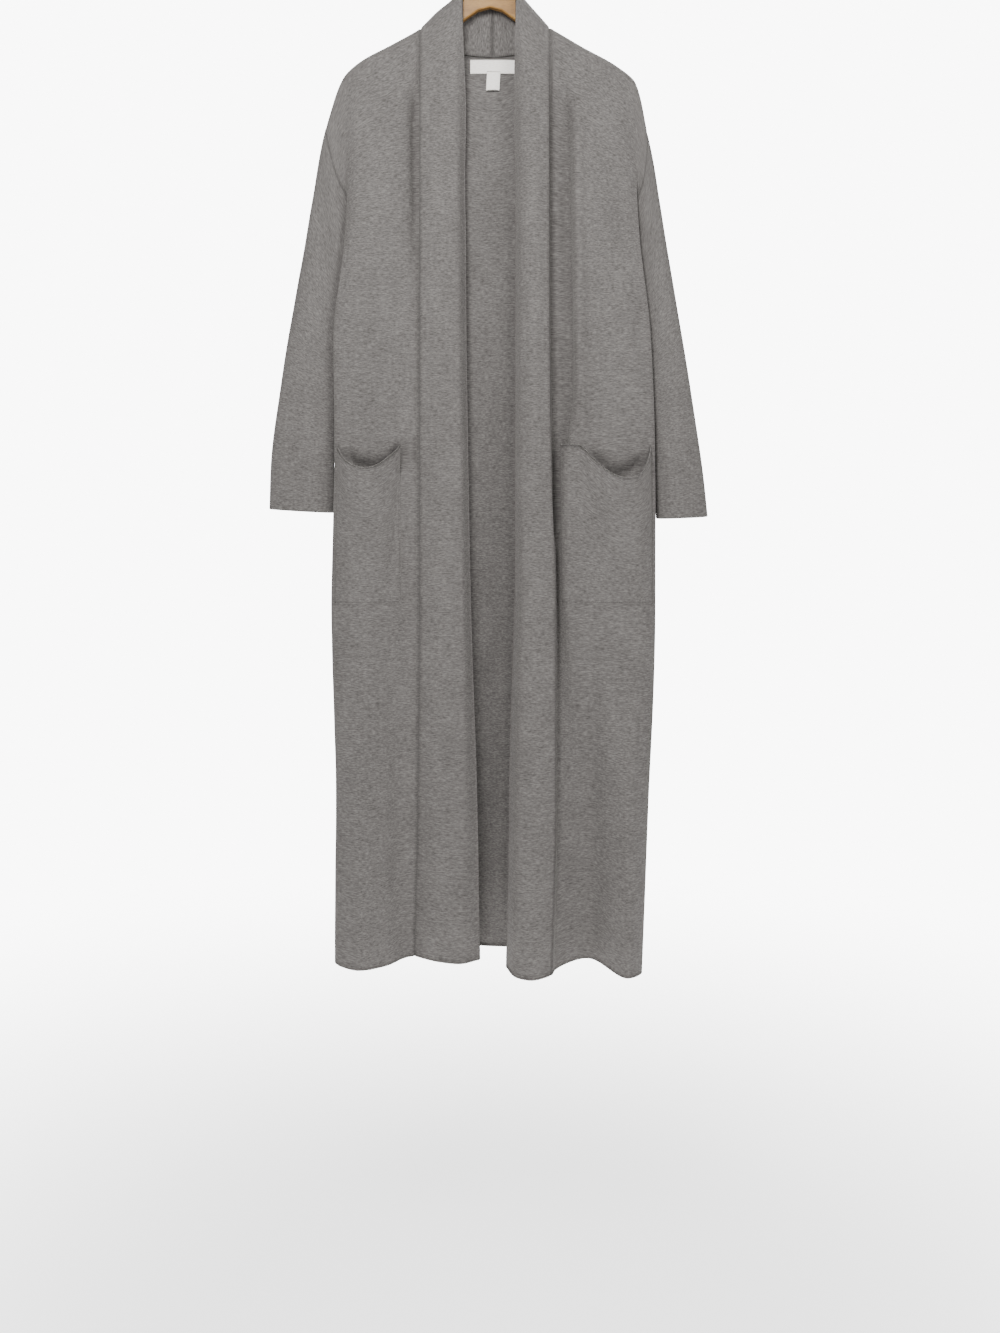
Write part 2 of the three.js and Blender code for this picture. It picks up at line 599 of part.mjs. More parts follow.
// The hook: a straight shank out of the crown, then most of a circle whose inside top is the origin
function hookGeometry() {
  const radius = hook.innerRadius + hookWireRadius;
  const centreZ = -hook.innerRadius;
  const path = new THREE.CurvePath();
  const start = new THREE.Vector3(0, 0, hook.shankEnd);
  const shankTop = new THREE.Vector3(0, 0, hook.shankTop);
  path.add(new THREE.LineCurve3(start, shankTop));
  const points = [shankTop];
  for (let k = 0; k <= hook.turns; k++) {
    const degrees = hook.bendAngle + (hook.mouthAngle - hook.bendAngle) * (k / hook.turns);
    const angle = THREE.MathUtils.degToRad(degrees);
    points.push(new THREE.Vector3(radius * Math.cos(angle), 0, centreZ + radius * Math.sin(angle)));
  }
  path.add(new THREE.CatmullRomCurve3(points, false, "centripetal"));
  const section = new THREE.Shape();
  section.absarc(0, 0, hookWireRadius, 0, Math.PI * 2);
  return new THREE.ExtrudeGeometry(section, {
    steps: hook.stepsAlong, curveSegments: hook.sides, bevelEnabled: false, extrudePath: path,
  });
}

const knit = () => new THREE.MeshStandardMaterial({ color: colours.knit, roughness: 0.95, metalness: 0 });
const woven = () => new THREE.MeshStandardMaterial({ color: colours.label, roughness: 0.7, metalness: 0 });
const wood = () => new THREE.MeshStandardMaterial({ color: colours.wood, roughness: 0.45, metalness: 0 });
const wire = () => new THREE.MeshStandardMaterial({ color: colours.wire, roughness: 0.25, metalness: 1 });

const robe = new THREE.Group();

function addPiece(name, geometry, material) {
  const mesh = new THREE.Mesh(geometry, material);
  mesh.name = name;
  robe.add(mesh);
}

// The grids share their seam points, so the fronts come first, then what is sewn to them
const leftGrid = frontGrid("left", leftFront);
const rightGrid = frontGrid("right", rightFront);
const back = backGrid();
const lastStrip = leftGrid.length - 1;
for (let j = armholeRows; j < back[0].length; j++) {
  back[0][j] = leftGrid[lastStrip][j].clone();
  back[back.length - 1][j] = rightGrid[lastStrip][j].clone();
}

const halfNeck = back.length - 1 - 2 * lastStrip;
const neckLine = back.slice(lastStrip, lastStrip + halfNeck + 1).map((column) => column[0]);
const leftNeck = neckLine.slice(0, neckStrips + 1).reverse();
const rightNeck = neckLine.slice(neckStrips);
const bandSeamSteps = [...[...neckLineSteps].reverse(), ...rowSteps];
const leftSeam = [...leftNeck, ...leftGrid[0].slice(1)];
const rightSeam = [...rightNeck, ...rightGrid[0].slice(1)];

const cloth = {
  front_left: sheet(leftGrid, { outward: 1, sewn: ["left", "right", "top"] }),
  front_right: sheet(rightGrid, { outward: -1, sewn: ["left", "right", "top"] }),
  back: sheet(back, { outward: 1, sewn: ["left", "right", "top"] }),
  sleeve_left: sheet(sleeveGrid(leftGrid[lastStrip], back[0], leftSleeve),
    { outward: 1, closed: true, sewn: ["top"] }),
  sleeve_right: sheet(sleeveGrid(rightGrid[lastStrip], back[back.length - 1], rightSleeve),
    { outward: -1, closed: true, sewn: ["top"] }),
  band_left: sheet(bandGrid(leftSeam, leftBand, bandSeamSteps),
    { outward: -1, thickness: bandThickness, sewn: ["left", "top"] }),
  band_right: sheet(bandGrid(rightSeam, rightBand, bandSeamSteps),
    { outward: 1, thickness: bandThickness, sewn: ["left", "top"] }),
};

for (const [name, piece] of Object.entries(cloth)) addPiece(name, wallGeometry(piece), knit());
for (const side of ["left", "right"]) {
  const front = cloth[`front_${side}`];
  const patch = sheet(pocketGrid(front), { outward: side === "left" ? 1 : -1 });
  addPiece(`pocket_${side}`, wallGeometry(patch), knit());
}

addPiece("neck_label", wallGeometry(labelSheet(
  label.centreX - label.width / 2, label.width, label.topZ, label.height, label.lift)), woven());
addPiece("size_tab", wallGeometry(labelSheet(
  label.centreX - sizeTab.width / 2, sizeTab.width, label.topZ - label.height + sizeTab.overlap,
  sizeTab.height, sizeTab.lift)), woven());
addPiece("hanger", hangerGeometry(), wood());
addPiece("hook", hookGeometry(), wire());

export default robe;
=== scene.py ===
import math
import bpy
import numpy as np
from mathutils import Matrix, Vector
from mathutils.bvhtree import BVHTree


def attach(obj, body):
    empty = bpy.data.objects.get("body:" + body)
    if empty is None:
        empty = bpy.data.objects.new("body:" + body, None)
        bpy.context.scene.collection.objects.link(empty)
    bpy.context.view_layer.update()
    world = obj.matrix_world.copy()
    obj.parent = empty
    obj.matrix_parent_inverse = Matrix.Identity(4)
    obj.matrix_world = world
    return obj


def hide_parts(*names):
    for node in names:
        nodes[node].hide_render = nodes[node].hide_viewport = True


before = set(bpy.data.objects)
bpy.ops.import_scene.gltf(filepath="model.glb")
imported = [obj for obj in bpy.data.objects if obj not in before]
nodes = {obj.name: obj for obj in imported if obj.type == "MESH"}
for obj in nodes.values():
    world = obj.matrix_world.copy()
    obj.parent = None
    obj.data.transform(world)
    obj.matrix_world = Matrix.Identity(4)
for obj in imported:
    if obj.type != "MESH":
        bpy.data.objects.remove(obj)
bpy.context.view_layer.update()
mm = 0.001


# The cloth's cut and drape, in millimetres, as the solids have it

fineAcross = 4
fineDown = 8

hangerHalf = 6.0
knitThickness = 2.2
bandThickness = 3.8
underarmZ = -424.0
lipDrop, lipGap = 8.0, 1.5  # where the cloth leaves the shoulder's top, and its distance from the hanger there
upperDrop = 100.0  # from the shoulder to the upper row, nearly enough to set the lip by
upperShare, chestShare = 0.42, 0.72
neckFollow = [1, 0.95, 0.9, 0.5, 0.2]  # how far the back's first rows follow its neckline
levelZ = {"rib": -560, "pocketTop": -700, "pocketBase": -912, "knee": -1180}

rowKnots = [0, 12, 108, 193, 278, 414, 554, 766, 1034, 1248]
rowSteps = [2, 3, 2, 2, 3, 3, 4, 4, 4]
armholeRows = sum(rowSteps[:4])
underarmRow = armholeRows * fineDown
lineNames = ["seam", "groove", "mid", "ridge", "edge", "side"]
lineSteps = [2, 2, 3, 3, 2]
strips = sum(lineSteps) * fineAcross
neckLineSteps = [1, 2, 2]
neckStrips = sum(neckLineSteps)

shoulders = {
    "left": dict(seam=(-94.5, -138), groove=(-101, -142), mid=(-134, -160), ridge=(-176, -183),
                 edge=(-199, -206), side=(-222, -272)),
    "right": dict(seam=(81, -137), groove=(90, -142), mid=(124, -162), ridge=(172, -189),
                  edge=(197, -212), side=(213, -280)),
}

frontSections = {
    "left": [
        dict(at="upper", seam=(-94.5, -22), groove=(-99, -9), mid=(-132, -20), ridge=(-178, -22),
             edge=(-194, -13), side=(-207, -17)),
        dict(at="chest", seam=(-94.5, -25), groove=(-99, -12), mid=(-132, -22), ridge=(-177, -25),
             edge=(-193, -14), side=(-187, -5)),
        dict(at="underarm", seam=(-94.5, -26), groove=(-99, -18), mid=(-133, -24), ridge=(-178, -27),
             edge=(-196, -19), side=(-184, -1)),
        dict(at="rib", seam=(-94.5, -27), groove=(-101, -22), mid=(-134, -28), ridge=(-182, -31),
             edge=(-209, -21), side=(-184, 1)),
        dict(at="pocketTop", seam=(-94.5, -27), groove=(-103, -22), mid=(-136, -32), ridge=(-181, -36),
             edge=(-208, -22), side=(-187, 3)),
        dict(at="pocketBase", seam=(-94.5, -25), groove=(-103, -21), mid=(-134, -35), ridge=(-181, -42),
             edge=(-212, -22), side=(-196, 6)),
        dict(at="knee", seam=(-97, -17), groove=(-106, -16), mid=(-136, -38), ridge=(-176, -48),
             edge=(-206, -24), side=(-201, 8)),
        dict(at="hem", seam=(-101.5, -6), groove=(-111, -11), mid=(-138, -38), ridge=(-172, -51),
             edge=(-207, -24), side=(-203, 8)),
    ],
    "right": [
        dict(at="upper", seam=(80, -25), groove=(84, -8), mid=(120, -22), ridge=(176, -22),
             edge=(197, -12), side=(207, -16)),
        dict(at="chest", seam=(80, -28), groove=(84, -8), mid=(120, -26), ridge=(177, -24),
             edge=(199, -14), side=(194, -5)),
        dict(at="underarm", seam=(80, -30), groove=(84, -8), mid=(119, -29), ridge=(180, -26),
             edge=(202, -18), side=(190, -1)),
        dict(at="rib", seam=(80.5, -32), groove=(85, -6), mid=(115, -32), ridge=(184, -30),
             edge=(216, -20), side=(190, 1)),
        dict(at="pocketTop", seam=(82, -35), groove=(86, -6), mid=(107, -34), ridge=(188, -36),
             edge=(221, -20), side=(196, 3)),
        dict(at="pocketBase", seam=(88, -40), groove=(90, -16), mid=(105, -34), ridge=(190, -42),
             edge=(222, -20), side=(206, 6)),
        dict(at="knee", seam=(88, -44), groove=(91, -24), mid=(124, -20), ridge=(184, -52),
             edge=(212, -24), side=(205, 8)),
        dict(at="hem", seam=(82, -43), groove=(88, -31), mid=(130, -9), ridge=(180, -54),
             edge=(203, -27), side=(199, 8)),
    ],
}

backSections = {
    "left": [
        dict(at="upper", side=(-207, 16), edge=(-196, 14), ridge=(-176, 18), mid=(-134, 16),
             groove=(-101, 15), seam=(-88, 15), centre=(3, 15)),
        dict(at="chest", side=(-187, 8), edge=(-195, 17), ridge=(-172, 21), mid=(-132, 18),
             groove=(-101, 16), seam=(-86, 16), centre=(3, 15)),
        dict(at="underarm", edge=(-197, 17), ridge=(-172, 23), mid=(-130, 20),
             groove=(-101, 17), seam=(-84, 17), centre=(3, 16)),
        dict(at="rib", edge=(-208, 19), ridge=(-172, 28), mid=(-130, 24),
             groove=(-100, 20), seam=(-80, 20), centre=(3, 18)),
        dict(at="pocketTop", edge=(-205, 22), ridge=(-168, 34), mid=(-128, 28),
             groove=(-98, 22), seam=(-74, 22), centre=(3, 21)),
        dict(at="pocketBase", edge=(-203, 27), ridge=(-164, 42), mid=(-124, 30),
             groove=(-94, 22), seam=(-66, 26), centre=(3, 24)),
        dict(at="knee", edge=(-194, 34), ridge=(-158, 52), mid=(-118, 30),
             groove=(-90, 22), seam=(-60, 36), centre=(4, 27)),
        dict(at="hem", edge=(-190, 38), ridge=(-154, 58), mid=(-114, 30),
             groove=(-86, 22), seam=(-54, 42), centre=(4, 29)),
    ],
    "right": [
        dict(at="upper", side=(208, 16), edge=(199, 14), ridge=(172, 17), mid=(124, 16),
             groove=(90, 15), seam=(78, 15)),
        dict(at="chest", side=(194, 8), edge=(201, 17), ridge=(172, 19), mid=(124, 18),
             groove=(90, 16), seam=(76, 16)),
        dict(at="underarm", edge=(203, 17), ridge=(172, 22), mid=(124, 20), groove=(90, 17), seam=(74, 17)),
        dict(at="rib", edge=(215, 19), ridge=(174, 26), mid=(126, 26), groove=(92, 22), seam=(70, 20)),
        dict(at="pocketTop", edge=(217, 22), ridge=(176, 30), mid=(128, 32), groove=(92, 26), seam=(66, 22)),
        dict(at="pocketBase", edge=(214, 27), ridge=(176, 32), mid=(130, 40), groove=(94, 32), seam=(60, 26)),
        dict(at="knee", edge=(203, 34), ridge=(172, 36), mid=(130, 50), groove=(96, 38), seam=(56, 28)),
        dict(at="hem", edge=(194, 38), ridge=(168, 38), mid=(130, 56), groove=(94, 42), seam=(52, 28)),
    ],
}

hemZ = {
    "left": dict(seam=-1388, groove=-1388, mid=-1391, ridge=-1393, edge=-1390, side=-1387),
    "right": dict(seam=-1402, groove=-1398, mid=-1390, ridge=-1402, edge=-1403, side=-1396),
    "backLeft": dict(side=-1387, edge=-1387, ridge=-1388, mid=-1386, groove=-1385, seam=-1386, centre=-1385),
    "backRight": dict(side=-1396, edge=-1394, ridge=-1390, mid=-1392, groove=-1389, seam=-1386),
}

backNeck = [
    (-94.5, 0, -138), (-88, 11.5, -147), (-56, 14.5, -166), (3, 15, -174),
    (50, 14.5, -166), (75, 11.5, -147), (81, 0, -137),
]

bandSections = {
    "left": [
        dict(at="centreBack", middle=(0, 3, 30), roll=(0, 3, 60), free=(0, -1, 88)),
        dict(at="nape", middle=(4, 2, 28), roll=(10, 3, 55), free=(17, 1, 79)),
        dict(at="backLip", middle=(17, 2, 20), roll=(34, 3, 38), free=(48, 3, 54)),
        dict(at="shoulder", middle=(22, 0, 22), roll=(42, 0, 38), free=(58, 0, 55)),
        dict(at="lip", middle=(24, -3, 18), roll=(43, -4, 32), free=(57, -3, 46)),
        dict(at="upper", middle=(27, -6, 0), roll=(50, -2, 2), free=(62, 17, 4)),
        dict(at="chest", middle=(27, -7, 0), roll=(50, -3, 0), free=(61, 20, 0)),
        dict(at="underarm", middle=(27, -7, 0), roll=(51, -3, 0), free=(62, 20, 0)),
        dict(at="rib", middle=(28, -8, 0), roll=(52, -4, 0), free=(63, 20, 0)),
        dict(at="pocketTop", middle=(28, -8, 0), roll=(54, -5, 0), free=(65, 18, 0)),
        dict(at="pocketBase", middle=(29, -9, 0), roll=(57, -8, 0), free=(69, 14, 0)),
        dict(at="knee", middle=(30, -12, 0), roll=(60, -13, 0), free=(80, 4, -1)),
        dict(at="hem", middle=(31, -14, -3), roll=(61, -20, -4), free=(88, -8, -2)),
    ],
    "right": [
        dict(at="centreBack", middle=(0, 3, 30), roll=(0, 3, 60), free=(0, -1, 88)),
        dict(at="nape", middle=(-3, 2, 28), roll=(-8, 3, 55), free=(-13, 1, 79)),
        dict(at="backLip", middle=(-11, 2, 20), roll=(-25, 3, 40), free=(-40, 3, 58)),
        dict(at="shoulder", middle=(-14, 0, 16), roll=(-30, 0, 34), free=(-47, 0, 55)),
        dict(at="lip", middle=(-18, -4, 17), roll=(-33, -5, 32), free=(-46, -4, 50)),
        dict(at="upper", middle=(-24, -8, 0), roll=(-40, 0, 2), free=(-48, 22, 4)),
        dict(at="chest", middle=(-24, -8, 0), roll=(-40, 1, 0), free=(-46, 26, 0)),
        dict(at="underarm", middle=(-24, -8, 0), roll=(-40, 1, 0), free=(-46, 27, 0)),
        dict(at="rib", middle=(-24, -8, 0), roll=(-41, 1, 0), free=(-47, 28, 0)),
        dict(at="pocketTop", middle=(-25, -9, 0), roll=(-43, 0, 0), free=(-49, 30, 0)),
        dict(at="pocketBase", middle=(-27, -10, 0), roll=(-47, -2, 0), free=(-56, 28, 0)),
        dict(at="knee", middle=(-28, -11, 0), roll=(-50, -5, 0), free=(-63, 25, 0)),
        dict(at="hem", middle=(-27, -13, -2), roll=(-50, -5, 0), free=(-61, 22, 4)),
    ],
}
bandSteps = [2, 2, 2]

sleeveSections = {
    "left": [
        dict(outer=(-231, -318), inner=(-190, -452), halfDepth=13, oval=0.55),
        dict(outer=(-245, -402), inner=(-198, -492), halfDepth=12, oval=0.9),
        dict(outer=(-264, -506), inner=(-204, -556), halfDepth=14, oval=1),
        dict(outer=(-283, -622), inner=(-209, -644), halfDepth=15, oval=1),
        dict(outer=(-296, -728), inner=(-216, -734), halfDepth=17, oval=1),
        dict(outer=(-298, -786), inner=(-219, -791), halfDepth=19, oval=1),
    ],
    "right": [
        dict(outer=(221, -322), inner=(197, -452), halfDepth=11, oval=0.55),
        dict(outer=(234, -406), inner=(203, -492), halfDepth=13, oval=0.9),
        dict(outer=(252, -510), inner=(209, -556), halfDepth=14, oval=1),
        dict(outer=(272, -630), inner=(216, -646), halfDepth=16, oval=1),
        dict(outer=(288, -738), inner=(225, -740), halfDepth=18, oval=1),
        dict(outer=(294, -796), inner=(230, -799), halfDepth=20, oval=1),
    ],
}
sleeveSteps = [2, 2, 3, 3, 2, 2]

# Smooth rows through control points: slope-limited cubics, so that no fold overshoots

leastGap, leastSlope, leastLength = 1e-3, 1e-12, 1e-9  # floors under what is divided by


def distanceAlong(grid, axis):
    steps = np.linalg.norm(np.diff(grid, axis=axis), axis=-1)
    start = np.zeros_like(np.take(steps, [0], axis=axis))
    return np.concatenate([start, np.cumsum(steps, axis=axis)], axis=axis)


def slopesOf(knots, values):
    d = np.diff(values, axis=0) / np.diff(knots, axis=0)[..., None]
    a, b = d[:-1], d[1:]
    total = np.where(np.abs(a + b) < leastSlope, 1, a + b)
    inner = np.where(a * b <= 0, 0, 2 * a * b / total)
    return np.concatenate([d[:1], inner, d[-1:]])


def sampleRow(points, steps, knots=None):
    points = np.asarray(points, float)
    if knots is None:
        gaps = np.maximum(np.linalg.norm(np.diff(points, axis=0), axis=-1), leastGap)
        knots = np.concatenate([np.zeros_like(gaps[:1]), np.cumsum(gaps, axis=0)])
    knots = np.asarray(knots, float).reshape(len(points), *([-1] if points.ndim > 2 else []))
    slopes = slopesOf(knots, points)
    row = [points[0]]
    for span, count in enumerate(steps):
        h = (knots[span + 1] - knots[span])[..., None]
        for k in range(1, count + 1):
            s = k / count
            row.append((1 + 2 * s) * (1 - s) ** 2 * points[span] + s * (1 - s) ** 2 * h * slopes[span]
                       + s * s * (3 - 2 * s) * points[span + 1] + s * s * (s - 1) * h * slopes[span + 1])
    return np.array(row)


def gridFromLines(lines, acrossSteps):
    down = np.array([sampleRow(line, [n * fineDown for n in rowSteps], rowKnots) for line in lines])
    return sampleRow(down, [n * fineAcross for n in acrossSteps])


def bodyLine(name, shoulder, sections, hem, facing, sideBelow=None):
    x, z = shoulder
    lipX = x + (sections[0][name][0] - x) * lipDrop / upperDrop
    points = [(x, 0, z), (lipX, facing * (hangerHalf + bandThickness + lipGap), z - lipDrop)]
    shares = dict(upper=upperShare, chest=chestShare, underarm=1)
    for k, section in enumerate(sections):
        at = section["at"]
        depth = z + (underarmZ - z) * shares[at] if at in shares else levelZ.get(at, hem[name])
        place = section.get(name) or sideBelow[k]["side"]
        points.append((place[0], place[1], depth))
    return np.array(points, float)


def frontGrid(side):
    lines = [bodyLine(n, shoulders[side][n], frontSections[side], hemZ[side], -1) for n in lineNames]
    return gridFromLines(lines, lineSteps)


def backGrid(fronts):
    def half(side, hem):
        return [bodyLine(n, shoulders[side][n], backSections[side], hem, 1, frontSections[side]) for n in lineNames]
    centre = bodyLine("centre", (backNeck[3][0], backNeck[3][2]), backSections["left"], hemZ["backLeft"], 1)
    centre[:2, 1] = backNeck[3][1]
    lines = half("left", hemZ["backLeft"])[::-1] + [centre] + half("right", hemZ["backRight"])
    grid = gridFromLines(lines, lineSteps[::-1] + [neckStrips, neckStrips] + lineSteps)
    neck = sampleRow(backNeck, [n * fineAcross for n in neckLineSteps + neckLineSteps[::-1]])
    grid[:strips + 1, 0] = fronts["left"][::-1, 0]
    grid[-strips - 1:, 0] = fronts["right"][:, 0]
    rows = np.arange((len(neckFollow) - 1) * fineDown + 1)
    follow = np.interp(rows / fineDown, range(len(neckFollow)), neckFollow)
    shift = neck - grid[strips:strips + len(neck), 0]
    grid[strips:strips + len(neck), :len(rows)] += shift[:, None] * follow[None, :, None]
    grid[0, underarmRow:] = fronts["left"][-1, underarmRow:]
    grid[-1, underarmRow:] = fronts["right"][-1, underarmRow:]
    return grid


def sleeveGrid(side, front, backColumn):
    armhole = np.concatenate([front[-1, :underarmRow + 1][::-1], backColumn[1:underarmRow]])
    around = len(armhole)
    angle = math.pi * (1 - 2 * np.arange(around) / around)
    rings = [armhole]
    for s in sleeveSections[side]:
        outer = np.array([s["outer"][0], 0, s["outer"][1]], float)
        inner = np.array([s["inner"][0], 0, s["inner"][1]], float)
        centre, reach = (outer + inner) / 2, (outer - inner) / 2
        oval = centre + np.cos(angle)[:, None] * reach
        oval[:, 1] -= s["halfDepth"] * np.sin(angle)
        moved = armhole + centre - (armhole[0] + armhole[around // 2]) / 2
        rings.append(moved + (oval - moved) * s["oval"])
    knots = distanceAlong([ring[round(around / 4)] for ring in rings], 0)
    down = sampleRow(np.array(rings), [n * fineDown for n in sleeveSteps], np.repeat(knots[:, None], around, axis=1))
    return down.transpose(1, 0, 2)


def bandGrid(side, seam):
    steps = [n * fineAcross for n in neckLineSteps[::-1]] + [n * fineDown for n in rowSteps]
    coarse = np.cumsum([0] + neckLineSteps[::-1] + rowSteps).astype(float)
    lines = [seam]
    for name in ("middle", "roll", "free"):
        lines.append(seam + sampleRow([s[name] for s in bandSections[side]], steps, coarse))
    return sampleRow(np.array(lines), [n * fineAcross for n in bandSteps])


# Shells: fine walls with creases, seams that dip and rounded free edges

farAway = 1e3  # past the size of any piece, in mm
creaseEnds = 0.25  # the share of a crease's path in which it rises or fades, where it says nothing else
seamDip = 0.7  # how deep a sewn edge lies, where it says nothing else
wavesBegin, creasesBegin = 25.0, 8.0  # how far from a seam they reach their full height
keysPerMm = 50  # how finely points are told apart where two cloths share a seam
widestMitre = 1.5
rimBulge = 0.42  # how far a free edge's round stands out, as a share of the cloth's thickness
softWave = dict(lengths=(150, 95, 62, 41), turns=(0.12, 0.25, 0.4, 0.7), stretch=0.5, wander=2.3, peak=3)


def unit(vectors):
    length = np.linalg.norm(vectors, axis=-1, keepdims=True)
    return vectors / np.maximum(length, leastLength)


def gridNormals(grid, outward, closed):
    columns, rows = grid.shape[:2]
    i, j = np.arange(columns), np.arange(rows)
    if closed:
        across = np.roll(grid, -1, axis=0) - np.roll(grid, 1, axis=0)
    else:
        across = grid[np.minimum(i + 1, columns - 1)] - grid[np.maximum(i - 1, 0)]
    down = grid[:, np.minimum(j + 1, rows - 1)] - grid[:, np.maximum(j - 1, 0)]
    return outward * unit(np.cross(across, down))


def smoothStep(x):
    x = np.clip(x, 0, 1)
    return x * x * (3 - 2 * x)


# How far each point stands out along a crease: a soft ridge, or a trough where the height is negative
def creaseHeight(x, z, crease):
    path = np.array(crease["path"], float)
    along = distanceAlong(path, 0)
    along /= along[-1]
    nearest = np.full(x.shape, np.inf)
    place = np.zeros(x.shape)
    for k, (a, b) in enumerate(zip(path[:-1], path[1:])):
        step = b - a
        t = np.clip(((x - a[0]) * step[0] + (z - a[1]) * step[1]) / (step @ step), 0, 1)
        d = np.hypot(x - a[0] - t * step[0], z - a[1] - t * step[1])
        closer = d < nearest
        nearest = np.where(closer, d, nearest)
        place = np.where(closer, along[k] + t * (along[k + 1] - along[k]), place)
    rise = smoothStep(place / crease.get("starts", creaseEnds))
    fade = rise * smoothStep((1 - place) / crease.get("ends", creaseEnds))
    return crease["height"] * np.exp(-(nearest / crease["width"]) ** 2) * fade


# The knit's own unevenness, a few long soft waves that run mostly down the cloth
def softWaves(x, z, seed, height):
    rng = np.random.default_rng(seed)
    total = np.zeros_like(x)
    for wave, turn in zip(softWave["lengths"], softWave["turns"]):
        for _ in range(2):
            angle = rng.normal(0, turn)
            phase = rng.uniform(0, 2 * math.pi)
            path = x * math.cos(angle) + z * math.sin(angle) * softWave["stretch"]
            wander = np.sin(z / (softWave["wander"] * wave) + phase)
            total += wave / softWave["lengths"][0] * np.sin(2 * math.pi * path / wave + phase + wander)
    return height * total / softWave["peak"]


seamPoints = {}


def pointKeys(points):
    return [tuple(k) for k in np.round(points.reshape(-1, 3) * keysPerMm).astype(int)]


def newObject(name, data):
    made = bpy.data.objects.new(name, data)
    bpy.context.collection.objects.link(made)
    return made


# A panel of cloth: a grid of points and normals, how far each point is from its edges, and its creases
class Cloth:
    def __init__(self, name, grid, outward, closed=False, thickness=knitThickness, sewn=(), creases=(),
                 seed=0, waves=0.8, hem="bottom", dips=None, edgeThickness=None):
        self.name, self.grid, self.closed, self.thickness, self.sewn = name, grid, closed, thickness, sewn
        self.dips = {**dict.fromkeys(sewn, seamDip), **(dips or {})}
        self.edgeThickness = edgeThickness or thickness
        columns, rows = grid.shape[:2]
        self.normals = gridNormals(grid, outward, closed)
        across = distanceAlong(np.concatenate([grid, grid[:1]]) if closed else grid, 0)
        down = distanceAlong(grid, 1)
        self.across, self.down = across[:columns], down
        far = np.full(grid.shape[:2], farAway)
        edges = {
            "left": far if closed else self.across,
            "right": far if closed else across[-1][None] - self.across,
            "top": down, "bottom": down[:, -1:] - down,
        }
        self.toSeam = np.min([edges[e] for e in edges if e in sewn] + [far], axis=0)
        self.toHem = edges[hem]
        x, z = grid[..., 0], grid[..., 2]
        self.waves = softWaves(x, z, seed, waves) * smoothStep(self.toSeam / wavesBegin)
        self.height = self.waves.copy()
        for crease in creases:
            shown = smoothStep(0.5 + crease.get("facing", -1) * self.normals[..., 1]) if closed else 1
            self.height += creaseHeight(x, z, crease) * smoothStep(self.toSeam / creasesBegin) * shown
        self.edgeMask = np.zeros((columns, rows), bool)
        if not closed:
            self.edgeMask[0] = self.edgeMask[-1] = True
        self.edgeMask[:, 0] = self.edgeMask[:, -1] = True
        for key, normal in zip(pointKeys(grid[self.edgeMask]), self.normals[self.edgeMask]):
            total, count = seamPoints.get(key, (np.zeros(3), 0))
            seamPoints[key] = (total + normal, count + 1)


# The outer and inner side of a cloth. Where it is sewn, the edge dips into its seam
def wallOf(cloth):
    columns, rows = cloth.grid.shape[:2]
    outer = cloth.grid + cloth.normals * cloth.height[..., None]
    directions = cloth.normals.copy()
    lengths = np.full((columns, rows), cloth.thickness)
    for i, j in zip(*np.nonzero(cloth.edgeMask)):
        total, count = seamPoints[pointKeys(cloth.grid[i, j])[0]]
        size = np.linalg.norm(total)
        directions[i, j] = total / size
        lengths[i, j] *= min(count / size, widestMitre)
    sides = {
        "left": np.s_[0], "right": np.s_[columns - 1], "top": np.s_[:, 0], "bottom": np.s_[:, rows - 1],
    }
    dips = np.zeros((columns, rows))
    for name in cloth.sewn:
        dips[sides[name]] = cloth.dips[name]
    outer -= directions * dips[..., None]
    lengths[dips > 0] *= cloth.edgeThickness / cloth.thickness
    return outer, outer - directions * lengths[..., None]


def stripOf(a, b):
    return np.stack([a[:-1], a[1:], b[1:], b[:-1]], axis=-1)


def signedVolume(points, quads):
    a, b, c, d = (points[quads[:, k]] for k in range(4))
    return (np.einsum("ij,ij->i", a, np.cross(b, c)) + np.einsum("ij,ij->i", a, np.cross(c, d))).sum() / 6


